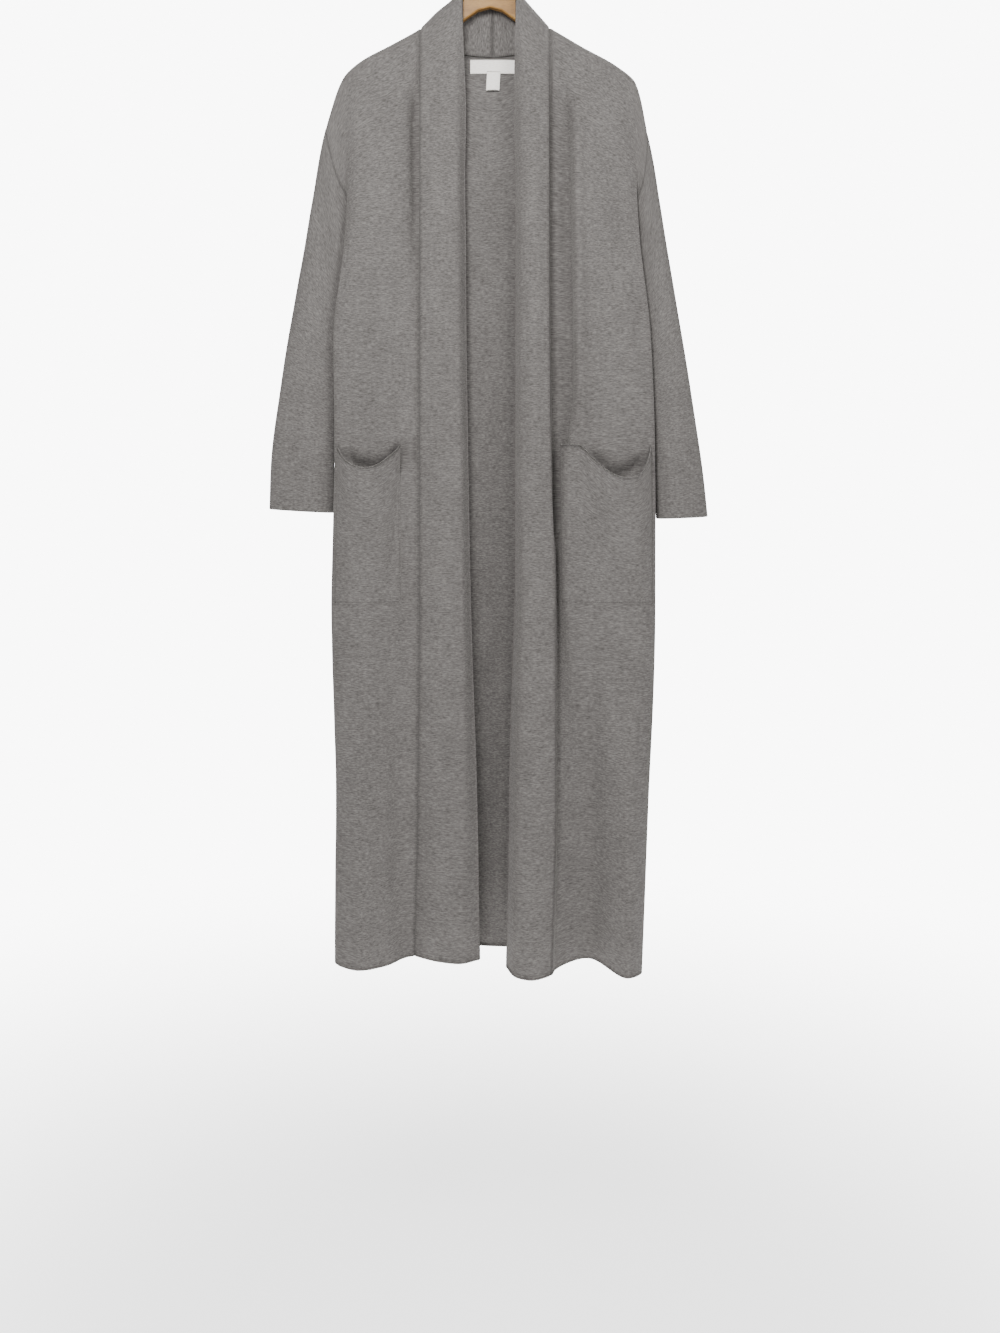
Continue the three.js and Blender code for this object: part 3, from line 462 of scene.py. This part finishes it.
# One closed wall from a cloth's two sides, with a rounded rim and its knit and edge distances as UVs
def buildCloth(cloth):
    columns, rows = cloth.grid.shape[:2]
    outer, inner = (surface.reshape(-1, 3) for surface in wallOf(cloth))
    count = columns * rows
    wrap = columns if cloth.closed else columns - 1
    i, j = np.meshgrid(np.arange(wrap), np.arange(rows - 1), indexing="ij")
    a, b = i * rows + j, ((i + 1) % columns) * rows + j
    quads = np.stack([a, a + 1, b + 1, b], axis=-1).reshape(-1, 4)
    faces = [quads, quads[:, ::-1] + count]
    points = [outer, inner]
    sources = [np.arange(count), np.arange(count)]

    def addRim(line, within, free):
        if not free:
            faces.append(stripOf(line, line + count))
            return
        ring = sum(map(len, points)) + np.arange(len(line))
        if cloth.closed:
            ring[-1] = ring[0]
            line, within = line[:-1], within[:-1]
        away = unit(outer[line] - outer[within])
        points.append((outer[line] + inner[line]) / 2 + away * cloth.thickness * rimBulge)
        sources.append(line)
        if cloth.closed:
            line = np.append(line, line[0])
        faces.extend([stripOf(line, ring), stripOf(ring, line + count)])

    order = np.append(np.arange(columns), 0) if cloth.closed else np.arange(columns)
    addRim(order[::-1] * rows, order[::-1] * rows + 1, "top" not in cloth.sewn)
    addRim(order * rows + rows - 1, order * rows + rows - 2, "bottom" not in cloth.sewn)
    if not cloth.closed:
        down = np.arange(rows)
        addRim(down, down + rows, "left" not in cloth.sewn)
        last = (columns - 1) * rows + down[::-1]
        addRim(last, last - rows, "right" not in cloth.sewn)
    points, faces, sources = (np.concatenate(parts) for parts in (points, faces, sources))
    if signedVolume(points, faces) < 0:
        faces = faces[:, ::-1]
    mesh = bpy.data.meshes.new(cloth.name)
    mesh.from_pydata(points * mm, [], faces.tolist())
    mesh.update()
    knitU = np.repeat(cloth.across.mean(axis=1)[:, None], rows, axis=1)
    knitV = np.repeat(cloth.down.mean(axis=0)[None], columns, axis=0)
    corners = np.zeros(len(mesh.loops), int)
    mesh.loops.foreach_get("vertex_index", corners)
    for name, layer in {"knit": (knitU, knitV), "edges": (cloth.toHem, cloth.toSeam)}.items():
        values = np.stack(layer, axis=-1).reshape(-1, 2)[sources][corners].astype(np.float32)
        mesh.uv_layers.new(name=name).data.foreach_set("uv", (values * mm).ravel())
    mesh.polygons.foreach_set("use_smooth", [True] * len(mesh.polygons))
    return newObject(cloth.name, mesh)


outwards = {"left": 1, "right": -1}  # which way a grid's faces turn, so that they point out of the cloth
fronts = {side: frontGrid(side) for side in outwards}
back = backGrid(fronts)
neck = back[strips:-strips or None, 0]
half = neckStrips * fineAcross
seams = {
    "left": np.concatenate([neck[:half + 1][::-1], fronts["left"][0, 1:]]),
    "right": np.concatenate([neck[half:], fronts["right"][0, 1:]]),
}

# Soft folds and creases, as paths down the cloth seen from the front, (x, z). A height below 0 is a trough
creases = {
    "front_left": [
        dict(path=[(-207, -712), (-178, -731), (-148, -736), (-125, -726), (-104, -690)], width=12, height=-16),
        dict(path=[(-101, -200), (-100, -330), (-101, -520)], width=5.5, height=-11, starts=0.2, ends=0.5),
        dict(path=[(-186, -655), (-189, -694), (-184, -726)], width=5, height=-2.4),
        dict(path=[(-141, -662), (-139, -728)], width=9, height=-2.6),
        dict(path=[(-155, -250), (-163, -480), (-158, -640)], width=15, height=1.3),
        dict(path=[(-198, -300), (-196, -420), (-201, -560)], width=8, height=-1.6),
        dict(path=[(-125, -560), (-122, -640), (-113, -700)], width=6, height=-1.2),
        dict(path=[(-131, -930), (-124, -1120), (-120, -1385)], width=13, height=-4.5, ends=0.05),
        dict(path=[(-186, -960), (-190, -1150), (-187, -1385)], width=10, height=-1.3, ends=0.05),
        dict(path=[(-150, -1010), (-157, -1160), (-154, -1300)], width=9, height=1.1),
    ],
    "front_right": [
        dict(path=[(130, -704), (150, -737), (168, -747), (190, -737), (214, -712)], width=11, height=-16),
        dict(path=[(117, -225), (119, -480), (122, -712)], width=6, height=9, starts=0.2, ends=0.1),
        dict(path=[(97, -205), (98, -400), (100, -700)], width=10, height=-15, starts=0.15, ends=0.2),
        dict(path=[(99, -600), (96, -690), (92, -770), (90, -840)], width=7, height=-9, starts=0.2, ends=0.2),
        dict(path=[(139, -655), (141, -690), (138, -730)], width=6, height=-2.4),
        dict(path=[(186, -668), (189, -696), (185, -728)], width=5, height=-2.0),
        dict(path=[(160, -250), (166, -450), (163, -640)], width=13, height=-1.1),
        dict(path=[(196, -300), (199, -460), (203, -640)], width=7, height=-1.4),
        dict(path=[(134, -930), (137, -1130), (139, -1385)], width=13, height=-4, ends=0.05),
        dict(path=[(181, -950), (183, -1160), (182, -1385)], width=9, height=1.3, ends=0.05),
        dict(path=[(160, -1000), (163, -1140), (158, -1290)], width=8, height=-0.9),
    ],
    "back": [
        dict(path=[(-8, -250), (-6, -600), (-9, -1000), (-6, -1380)], width=12, height=2.6, ends=0.05),
        dict(path=[(19, -230), (22, -600), (20, -1000), (15, -1380)], width=9, height=-2.4, ends=0.05),
        dict(path=[(-25, -700), (-22, -1050), (-19, -1380)], width=6, height=-1.4, ends=0.05),
        dict(path=[(-120, -420), (-128, -800), (-118, -1250)], width=22, height=2.5),
        dict(path=[(-70, -300), (-62, -700), (-70, -1100)], width=18, height=-1.8),
        dict(path=[(84, -300), (78, -650), (86, -1180)], width=20, height=2.2),
        dict(path=[(150, -460), (140, -900), (146, -1300)], width=16, height=-1.8),
    ],
    "sleeve_left": [
        dict(path=[(-205, -372), (-222, -448), (-234, -545)], width=9, height=-1.6),
        dict(path=[(-232, -352), (-244, -440), (-252, -520)], width=8, height=1.0),
        dict(path=[(-262, -560), (-240, -588), (-218, -596)], width=7, height=-1.2),
        dict(path=[(-248, -612), (-262, -690), (-268, -772)], width=9, height=-1.2),
        dict(path=[(-226, -640), (-236, -710), (-238, -785)], width=6, height=0.9),
        dict(path=[(-214, -470), (-238, -560), (-254, -700)], width=10, height=-1.8, facing=1),
    ],
    "sleeve_right": [
        dict(path=[(203, -380), (212, -452), (220, -540)], width=8, height=-1.6),
        dict(path=[(222, -356), (232, -440), (243, -530)], width=8, height=1.0),
        dict(path=[(255, -570), (238, -596), (222, -604)], width=7, height=-1.1),
        dict(path=[(242, -620), (254, -700), (262, -785)], width=9, height=-1.2),
        dict(path=[(232, -660), (239, -730), (242, -792)], width=6, height=0.8),
        dict(path=[(212, -470), (230, -560), (246, -700)], width=10, height=-1.8, facing=1),
    ],
    "band_left": [
        dict(path=[(-62, -330), (-60, -620), (-52, -900)], width=12, height=1.0),
        dict(path=[(-74, -900), (-66, -1100), (-60, -1370)], width=12, height=-1.2, ends=0.05),
        dict(path=[(-44, -950), (-36, -1150), (-30, -1370)], width=9, height=1.0, ends=0.05),
        dict(path=[(-70, -150), (-66, -220), (-68, -300)], width=8, height=-0.7),
    ],
    "band_right": [
        dict(path=[(60, -300), (60, -600), (58, -860)], width=9, height=1.0),
        dict(path=[(70, -880), (66, -1100), (60, -1390)], width=9, height=-1.0, ends=0.05),
        dict(path=[(44, -900), (40, -1120), (36, -1380)], width=8, height=0.9, ends=0.05),
        dict(path=[(58, -150), (57, -220), (59, -300)], width=7, height=-0.7),
    ],
    "pocket_left": [
        dict(path=[(-113, -738), (-123, -775), (-120, -812), (-130, -856), (-135, -898)], width=6, height=-4.5,
             starts=0.1),
        dict(path=[(-131, -802), (-121, -809), (-112, -813)], width=3.5, height=-1.5),
        dict(path=[(-176, -742), (-170, -790), (-172, -850)], width=9, height=-1.0),
        dict(path=[(-150, -760), (-148, -820)], width=8, height=0.9),
    ],
    "pocket_right": [
        dict(path=[(125, -742), (132, -775), (145, -800), (150, -850)], width=6, height=-4.5, starts=0.1),
        dict(path=[(183, -744), (178, -790), (181, -850)], width=8, height=-1.2),
        dict(path=[(160, -768), (163, -840)], width=9, height=0.9),
    ],
}

# The sleeves' lower ends lean in until they all but touch the robe's sides
leans = {"left": dict(reach=8, begins=-600, over=200), "right": dict(reach=6, begins=-650, over=170)}


def leaningSleeve(grid, inward, reach, begins, over):
    fromOutside = grid[..., 0] * inward - (grid[..., 0] * inward).min(axis=0)
    lean = reach * smoothStep((begins - grid[..., 2]) / over)
    grid[..., 0] += inward * lean * fromOutside / fromOutside.max(axis=0)
    return grid


cloths = {}


def addCloth(name, grid, outward, **settings):
    cloths[name] = Cloth("robe_" + name, grid, outward, creases=creases.get(name, ()), **settings)
    return cloths[name]


for side, outward in outwards.items():
    backColumn = back[0] if side == "left" else back[-1]
    sleeve = leaningSleeve(sleeveGrid(side, fronts[side], backColumn), outward, **leans[side])
    addCloth(f"front_{side}", fronts[side], outward, sewn=("left", "right", "top"), dips=dict(left=1.6),
             seed=3 + outward)
    addCloth(f"sleeve_{side}", sleeve, outward, closed=True, sewn=("top",), seed=8 + outward)
    addCloth(f"band_{side}", bandGrid(side, seams[side]), -outward, thickness=bandThickness,
             sewn=("left", "top"), dips=dict(left=1.6), seed=12 + outward, waves=0.5)
addCloth("back", back, 1, sewn=("left", "right", "top"), seed=20)

# A pocket lies on its front between two strips, stands a lift off it, gapes at the mouth and bags below it
pocketCut = dict(firstStrip=3, lastStrip=9, gape=17, bagginess=4, lift=0.35)
mouthPowers = dict(swell=1.2, sag=0.8, down=1.5)  # above 1 a curve is narrower, below 1 it is fuller
# Where each mouth opens from, across the pocket from the band's side, and how far it sags, in mm
mouths = {"left": dict(opens=0.0, sag=31), "right": dict(opens=0.27, sag=45)}


def pocketGrid(front, opens, sag):
    first = (armholeRows + rowSteps[4] + rowSteps[5]) * fineDown
    last = first + rowSteps[6] * fineDown
    columns = slice(pocketCut["firstStrip"] * fineAcross, pocketCut["lastStrip"] * fineAcross + 1)
    under = np.maximum(front.height, front.waves)
    grid = (front.grid + front.normals * under[..., None])[columns, first:last + 1].copy()
    normals = front.normals[columns, first:last + 1]
    across = np.linspace(0, 1, grid.shape[0])[:, None]
    down = np.linspace(0, 1, grid.shape[1])[None]
    swell = np.sin(math.pi * np.clip((across - opens) / (1 - opens), 0, 1)) ** mouthPowers["swell"]
    out = pocketCut["lift"] + knitThickness + swell * (
        pocketCut["gape"] * (1 - down) ** 2 + pocketCut["bagginess"] * np.sin(math.pi * down))
    grid += normals * out[..., None]
    grid[..., 2] -= swell ** mouthPowers["sag"] * sag * (1 - down) ** mouthPowers["down"]
    return grid


for side, outward in outwards.items():
    pocket = addCloth(f"pocket_{side}", pocketGrid(cloths[f"front_{side}"], **mouths[side]), outward,
                      sewn=("left", "right", "bottom"), dips=dict(left=2.3, right=2.3, bottom=2.3),
                      edgeThickness=0.5, seed=30, waves=0.3, hem="top")
    # Its edges are kept out of the painted seam shade, as it is sewn on flat
    pocket.toSeam[:] = farAway  # sewn on flat, so no groove darkens its edges

# Ribbon labels on the back's inner side: the neck label is sewn down at both ends, the tab hangs from under it
labels = {
    "neck_label": dict(left=-27, top=-177, width=64, height=19, lift=0.4, skew=0.0, curl=0.5, wave=0.35),
    "size_tab": dict(left=-4, top=-193, width=18, height=26, lift=1.5, skew=-1.4, curl=2.2, wave=0.3),
}
labelThickness = 0.45
labelColumns, labelRows = 33, 13
ripple = dict(across=9, down=2)
inFront = -300  # where the rays that feel for the back start


def innerSide(cloth):
    inside = wallOf(cloth)[1]
    columns, rows = inside.shape[:2]
    i, j = np.meshgrid(np.arange(columns - 1), np.arange(rows - 1), indexing="ij")
    corner = (i * rows + j).ravel()
    quads = np.stack([corner, corner + 1, corner + rows + 1, corner + rows], axis=-1)
    return BVHTree.FromPolygons(inside.reshape(-1, 3).tolist(), quads.tolist())


def labelGrid(behind, left, top, width, height, lift, skew, curl, wave):
    grid = np.zeros((labelColumns, labelRows, 3))
    for a, across in enumerate(np.linspace(0, 1, labelColumns)):
        for b, down in enumerate(np.linspace(0, 1, labelRows)):
            x, z = left + width * across + skew * down, top - height * down
            met = behind.ray_cast(Vector((x, inFront, z)), Vector((0, 1, 0)))[0]
            arch = math.sin(math.pi * across)
            out = lift + labelThickness + curl * down ** 2 * math.sqrt(arch)
            out += wave * (1 + math.sin(across * ripple["across"] + down * ripple["down"])) * arch
            grid[a, b] = x, met.y - out, z
    return grid


backInside = innerSide(cloths["back"])
for name, cut in labels.items():
    addCloth(name, labelGrid(backInside, **cut), -1, thickness=labelThickness, waves=0, hem="top")
print("cloth shaped:", ", ".join(f"{n} {c.grid.shape[0]}x{c.grid.shape[1]}" for n, c in cloths.items()))


# Materials

def srgb(colour):
    channels = [(colour >> shift & 255) / 255 for shift in (16, 8, 0)]
    return [c / 12.92 if c <= 0.04045 else ((c + 0.055) / 1.055) ** 2.4 for c in channels] + [1]


class Nodes:
    def __init__(self, name):
        self.material = bpy.data.materials.new(name)
        self.material.use_nodes = True
        self.tree = self.material.node_tree
        self.shader = self.tree.nodes["Principled BSDF"]

    # Each input gets a link where its value is another node's output
    def fill(self, node, inputs):
        for key, value in inputs.items():
            if isinstance(value, bpy.types.NodeSocket):
                self.tree.links.new(value, node.inputs[key])
            else:
                node.inputs[key].default_value = value

    # Adds a node with its settings, colour stops and inputs, and gives its outputs
    def add(self, kind, inputs=(), stops=(), **settings):
        node = self.tree.nodes.new("ShaderNode" + kind)
        for key, value in settings.items():
            setattr(node, key, value)
        for k, (place, colour) in enumerate(stops):
            elements = node.color_ramp.elements
            element = elements[k] if k < 2 else elements.new(place)
            element.position = place
            element.color = srgb(colour)
        self.fill(node, inputs if isinstance(inputs, dict) else dict(enumerate(inputs)))
        return node.outputs


def uvOf(m, layer, perMetre):
    return m.add("Mapping", {"Vector": m.add("UVMap", uv_map=layer)[0], "Scale": (*perMetre, 1)})[0]


def weighted(m, parts):
    total = 0.0
    for part, weight in parts:
        total = m.add("Math", [part, weight, total], operation="MULTIPLY_ADD")[0]
    return total


# The three groove settings paint shade into the knit's colour: within that distance of a seam it darkens to that
# share
knitLook = dict(wale=1.5, course=1.15, hemAt=26, hemWidth=1.2, paintedShadeFrom=0.4, paintedShadeTo=5, paintedSeamShade=0.7,
                relief=0.42, reliefDepth=0.6)  # sizes in mm, the groove's shade and the relief as shares


# Fine plain knit in a wool and acrylic mix: a yarn spun from light and dark grey fibre, matt, with a soft nap, and
# painted shade darkening it beside its seams
def knitMaterial():
    m = Nodes("grey marl knit")
    loopSize = (1 / (knitLook["wale"] * mm), 1 / (knitLook["course"] * mm))
    wale, course = m.add("SeparateXYZ", [uvOf(m, "knit", loopSize)])[:2]
    wander = m.add("TexNoise", {"Vector": uvOf(m, "knit", (160, 160)), "Scale": 1, "Detail": 1})[0]  # each 6 mm
    shift = m.add("Math", [wander, 1.2], operation="MULTIPLY")[0]
    column = m.add("Math", [wale, shift], operation="ADD")[0]
    within = m.add("Math", [column], operation="FRACT")[0]
    fromCentre = m.add("Math", [within, 0.5], operation="SUBTRACT")[0]
    offCentre = m.add("Math", [fromCentre], operation="ABSOLUTE")[0]
    row = weighted(m, [(course, 1), (shift, 1), (offCentre, 1.3)])
    legs, loops = (m.add("Math", [weighted(m, [(turns, 2 * math.pi)])], operation="SINE")[0]
                   for turns in (offCentre, row))
    height = weighted(m, [(legs, 0.6), (loops, 0.4)])

    # Fibres show 5 by 1.6 mm, slubs 15 by 5 mm and patches 45 by 62 mm, all coarser than the yarn, so that they show
    fibres, slubs, patches = (
        m.add("TexNoise", {"Vector": uvOf(m, "knit", perMetre), "Scale": 1, "Detail": detail,
                           "Roughness": roughness})[0]
        for perMetre, detail, roughness in (((190, 620), 3, 0.65), ((65, 190), 2, 0.5), ((22, 16), 2, 0.5)))
    blend = weighted(m, [(fibres, 0.68), (slubs, 0.2), (patches, 0.12), (height, 0.03)])
    colour = m.add("ValToRGB", [blend], stops=[(0.36, 0x474442), (0.64, 0x74716e), (0.5, 0x5d5a58)])[0]
    # Painted shade: the colour is darkened beside the seams, where light is lost in their grooves
    toHem, toSeam = m.add("SeparateXYZ", [uvOf(m, "edges", (1, 1))])[:2]
    # The painted seam shade: a factor that falls from 1 to the groove's shade share close to a seam
    groove = m.add("MapRange", {"Value": toSeam, "From Min": knitLook["paintedShadeFrom"] * mm,
                                "From Max": knitLook["paintedShadeTo"] * mm, "To Min": knitLook["paintedSeamShade"],
                                "To Max": 1}, interpolation_type="SMOOTHSTEP")[0]
    colourWithPaintedShade = m.add("VectorMath", [colour, groove], operation="MULTIPLY")[0]
    hemLine = m.add("Math", [toHem, knitLook["hemAt"] * mm, knitLook["hemWidth"] * mm], operation="COMPARE")[0]
    relief = weighted(m, [(height, 0.35), (hemLine, -0.8), (fibres, 0.6)])
    bump = m.add("Bump", {"Height": relief, "Strength": knitLook["relief"],
                          "Distance": knitLook["reliefDepth"] * mm})[0]
    m.fill(m.shader, {"Base Color": colourWithPaintedShade, "Roughness": 0.95, "Specular IOR Level": 0.2, "Sheen Weight": 0.25,
                      "Sheen Roughness": 0.6, "Sheen Tint": srgb(0xb8b4b0), "Normal": bump})
    return m.material


# Off-white woven polyester ribbon: a fine satin face with faint crosswise ribs
def ribbonMaterial():
    m = Nodes("woven label ribbon")
    ribs = m.add("TexWave", {"Vector": uvOf(m, "knit", (1, 1)), "Scale": 900, "Distortion": 0.6, "Detail": 1},
                 bands_direction="Y")[0]
    tone = m.add("TexNoise", {"Vector": uvOf(m, "knit", (240, 700)), "Scale": 1, "Detail": 2})[0]  # 4 by 1.4 mm
    colour = m.add("ValToRGB", [tone], stops=[(0.3, 0xf0eae2), (0.7, 0xfdfaf5)])[0]
    bump = m.add("Bump", {"Height": ribs, "Strength": 0.3, "Distance": 0.2 * mm})[0]
    m.fill(m.shader, {"Base Color": colour, "Roughness": 0.6, "Sheen Weight": 0.1, "Normal": bump})
    return m.material


# Pale beech with a thin varnish: fine long grain along the arms, small pores, a low gloss over it
def woodMaterial():
    m = Nodes("varnished pale wood")
    where = m.add("TexCoord")["Object"]
    grainPlace = m.add("Mapping", {"Vector": where, "Scale": (9, 60, 55)})[0]  # streaks of 110 by 17 mm
    grain = m.add("TexNoise", {"Vector": grainPlace, "Scale": 1, "Detail": 5, "Distortion": 0.6})[0]
    porePlace = m.add("Mapping", {"Vector": where, "Scale": (160, 900, 900)})[0]  # 6 by 1.1 mm
    pores = m.add("TexNoise", {"Vector": porePlace, "Scale": 1, "Detail": 2})[0]
    mixed = weighted(m, [(grain, 0.75), (pores, 0.25)])
    colour = m.add("ValToRGB", [mixed], stops=[(0.35, 0x6e4e22), (0.65, 0x9c763c), (0.5, 0x87622e)])[0]
    bump = m.add("Bump", {"Height": pores, "Strength": 0.15, "Distance": 0.2 * mm})[0]
    m.fill(m.shader, {"Base Color": colour, "Roughness": 0.6, "Specular IOR Level": 0.3, "Coat Weight": 0.1,
                      "Coat Roughness": 0.2, "Normal": bump})
    return m.material


# Nickel-plated steel wire: bright, dulled in patches of a few millimetres where it has rubbed on rails
def wireMaterial():
    m = Nodes("plated steel wire")
    rubbed = m.add("TexNoise", {"Vector": m.add("TexCoord")["Object"], "Scale": 260, "Detail": 3})[0]
    roughness = m.add("MapRange", {"Value": rubbed, "To Min": 0.14, "To Max": 0.34})[0]
    m.fill(m.shader, {"Base Color": srgb(0xc9cacb), "Metallic": 1, "Roughness": roughness})
    return m.material


knit, ribbon, wood, wire = knitMaterial(), ribbonMaterial(), woodMaterial(), wireMaterial()
print("materials made")


# The pieces take the place of the solids

pieces = {}
for name, cloth in cloths.items():
    piece = buildCloth(cloth)
    isLabel = name in labels
    piece.data.materials.append(ribbon if isLabel else knit)
    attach(piece, "root")
    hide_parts(name)
    pieces[name] = piece

for name, material in (("hanger", wood), ("hook", wire)):
    nodes[name].data.materials.clear()
    nodes[name].data.materials.append(material)
print("pieces built:", len(pieces))


# Stitches, set along a line by Geometry Nodes: a short rounded thread at each step, turned along the line

def stitchNodes(name, material):
    tree = bpy.data.node_groups.new(name, "GeometryNodeTree")
    tree.interface.new_socket("Geometry", in_out="INPUT", socket_type="NodeSocketGeometry")
    for size in ("Pitch", "Length", "Width"):
        tree.interface.new_socket(size, in_out="INPUT", socket_type="NodeSocketFloat")
    tree.interface.new_socket("Geometry", in_out="OUTPUT", socket_type="NodeSocketGeometry")
    source, sink, curve, steps, tangent, turn, bead, size, place, real, paint = (tree.nodes.new(kind) for kind in (
        "NodeGroupInput", "NodeGroupOutput", "GeometryNodeMeshToCurve", "GeometryNodeResampleCurve",
        "GeometryNodeInputTangent", "FunctionNodeAlignRotationToVector", "GeometryNodeMeshIcoSphere",
        "ShaderNodeCombineXYZ", "GeometryNodeInstanceOnPoints", "GeometryNodeRealizeInstances",
        "GeometryNodeSetMaterial"))
    steps.mode = "LENGTH"
    turn.axis = "Z"
    bead.inputs["Radius"].default_value = 0.5
    bead.inputs["Subdivisions"].default_value = 2
    paint.inputs["Material"].default_value = material
    for a, b in (
        (source.outputs[0], curve.inputs["Mesh"]),
        (curve.outputs[0], steps.inputs["Curve"]),
        (source.outputs["Pitch"], steps.inputs["Length"]),
        (source.outputs["Width"], size.inputs["X"]),
        (source.outputs["Width"], size.inputs["Y"]),
        (source.outputs["Length"], size.inputs["Z"]),
        (size.outputs[0], place.inputs["Scale"]),
        (steps.outputs[0], place.inputs["Points"]),
        (tangent.outputs[0], turn.inputs["Vector"]),
        (turn.outputs[0], place.inputs["Rotation"]),
        (bead.outputs[0], place.inputs["Instance"]),
        (place.outputs[0], real.inputs[0]),
        (real.outputs[0], paint.inputs["Geometry"]),
        (paint.outputs[0], sink.inputs[0]),
    ):
        tree.links.new(a, b)
    return tree


def addStitches(name, lines, stitch, material):
    starts = np.cumsum([0] + [len(line) for line in lines])
    edges = [(k, k + 1) for a, b in zip(starts[:-1], starts[1:]) for k in range(a, b - 1)]
    mesh = bpy.data.meshes.new(name)
    mesh.from_pydata(np.concatenate(lines) * mm, edges, [])
    guide = newObject(name + "_guide", mesh)
    sewing = guide.modifiers.new("stitches", "NODES")
    sewing.node_group = stitchNodes(name, material)
    for socket in sewing.node_group.interface.items_tree:
        if socket.in_out == "INPUT" and socket.name.lower() in stitch:
            sewing[socket.identifier] = stitch[socket.name.lower()] * mm
    shaped = guide.evaluated_get(bpy.context.evaluated_depsgraph_get())
    made = newObject(name, bpy.data.meshes.new_from_object(shaped))
    bpy.data.objects.remove(guide)
    made.data.polygons.foreach_set("use_smooth", [True] * len(made.data.polygons))
    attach(made, "root")
    return made


# A line of a cloth's outer side, partly in from one of its edges
def lineInside(outer, edge, inset):
    first, second = {
        "left": (outer[0], outer[1]), "right": (outer[-1], outer[-2]),
        "top": (outer[:, 0], outer[:, 1]), "bottom": (outer[:, -1], outer[:, -2]),
    }[edge]
    return first + (second - first) * inset


# Sizes in mm. The inset is a share of the way from an edge to the next line of the grid
yarn = dict(pitch=2.6, length=2.0, width=0.75, inset=0.55)
labelThread = dict(pitch=1.9, length=1.5, width=0.4, inset=0.7)
for side in outwards:
    outer = wallOf(cloths[f"pocket_{side}"])[0]
    lines = [lineInside(outer, edge, yarn["inset"]) for edge in ("left", "bottom", "right")]
    addStitches(f"robe_pocket_{side}_stitches", lines, yarn, knit)
for name, edges in (("neck_label", ("left", "right")), ("size_tab", ("top",))):
    outer = wallOf(cloths[name])[0]
    lines = [lineInside(outer, edge, labelThread["inset"]) for edge in edges]
    addStitches(f"robe_{name}_stitches", lines, labelThread, ribbon)


# Each piece is looked up with its cloth, and nothing further is done with them


for name, piece in pieces.items():
    cloth = cloths[name]


# A pale floor that fades out into white, soft light and the photograph's camera

floorLook = dict(z=-1.9, reach=2.4, solid=0.3, glow=1.8)


def addFloor(z, reach, solid, glow):
    mesh = bpy.data.meshes.new("floor")
    mesh.from_pydata([(-reach, -reach, z), (reach, -reach, z), (reach, reach, z), (-reach, reach, z)], [],
                     [(0, 1, 2, 3)])
    m = Nodes("white paper floor")
    level = m.add("Mapping", {"Vector": m.add("TexCoord")["Object"], "Scale": (1, 1, 0)})[0]
    distance = m.add("VectorMath", [level], operation="LENGTH")["Value"]
    fade = m.add("MapRange", {"Value": distance, "From Min": solid, "From Max": reach, "To Min": 1, "To Max": 0},
                 interpolation_type="SMOOTHSTEP")[0]
    m.fill(m.shader, {"Base Color": srgb(0xf4f4f5), "Roughness": 0.9, "Emission Color": srgb(0xffffff),
                      "Emission Strength": glow, "Alpha": fade})
    mesh.materials.append(m.material)
    newObject("floor", mesh)


def addLight(name, place, target, size, power):
    light = bpy.data.lights.new(name, "AREA")
    light.shape, light.size, light.energy = "DISK", size, power
    lamp = newObject(name, light)
    lamp.location = place
    lamp.rotation_euler = (Vector(target) - Vector(place)).to_track_quat("-Z", "Y").to_euler()


lights = {
    "key": dict(place=(-0.25, -1.4, 0.15), target=(0, 0, -0.45), size=0.6, power=32),
    "fill": dict(place=(1.2, -1.6, 0.2), target=(0, 0, -0.45), size=0.8, power=17),
    "behind": dict(place=(0.8, 2.4, 1.4), target=(0, 0, -0.6), size=1.2, power=40),
}
addFloor(**floorLook)
for name, settings in lights.items():
    addLight(name, **settings)

# The studio's white walls, bright to the camera and softer as a light
wallStrength = dict(asLight=0.5, asSeen=9)
world = bpy.data.worlds.new("studio")
world.use_nodes = True
walls = world.node_tree.nodes["Background"]
walls.inputs["Color"].default_value = (1, 1, 1, 1)
seen = world.node_tree.nodes.new("ShaderNodeLightPath")
strength = world.node_tree.nodes.new("ShaderNodeMapRange")
strength.inputs["To Min"].default_value = wallStrength["asLight"]
strength.inputs["To Max"].default_value = wallStrength["asSeen"]
world.node_tree.links.new(seen.outputs["Is Camera Ray"], strength.inputs["Value"])
world.node_tree.links.new(strength.outputs[0], walls.inputs["Strength"])
bpy.context.scene.world = world

# The photograph's frame and the pixel at its camera's axis, and the camera's place in m and lens in mm
photo = dict(width=1000, height=1333, axisX=490, axisY=450)
view = dict(distance=2.1, z=-0.707, lens=42, sensor=36)
lens = bpy.data.cameras.new("camera")
lens.lens, lens.sensor_width = view["lens"], view["sensor"]
lens.shift_x = (photo["width"] / 2 - photo["axisX"]) / photo["height"]
lens.shift_y = (photo["axisY"] - photo["height"] / 2) / photo["height"]
camera = newObject("camera", lens)
camera.location = (0, -view["distance"], view["z"])
camera.rotation_euler = (math.pi / 2, 0, 0)
bpy.context.scene.camera = camera
print("stage set")
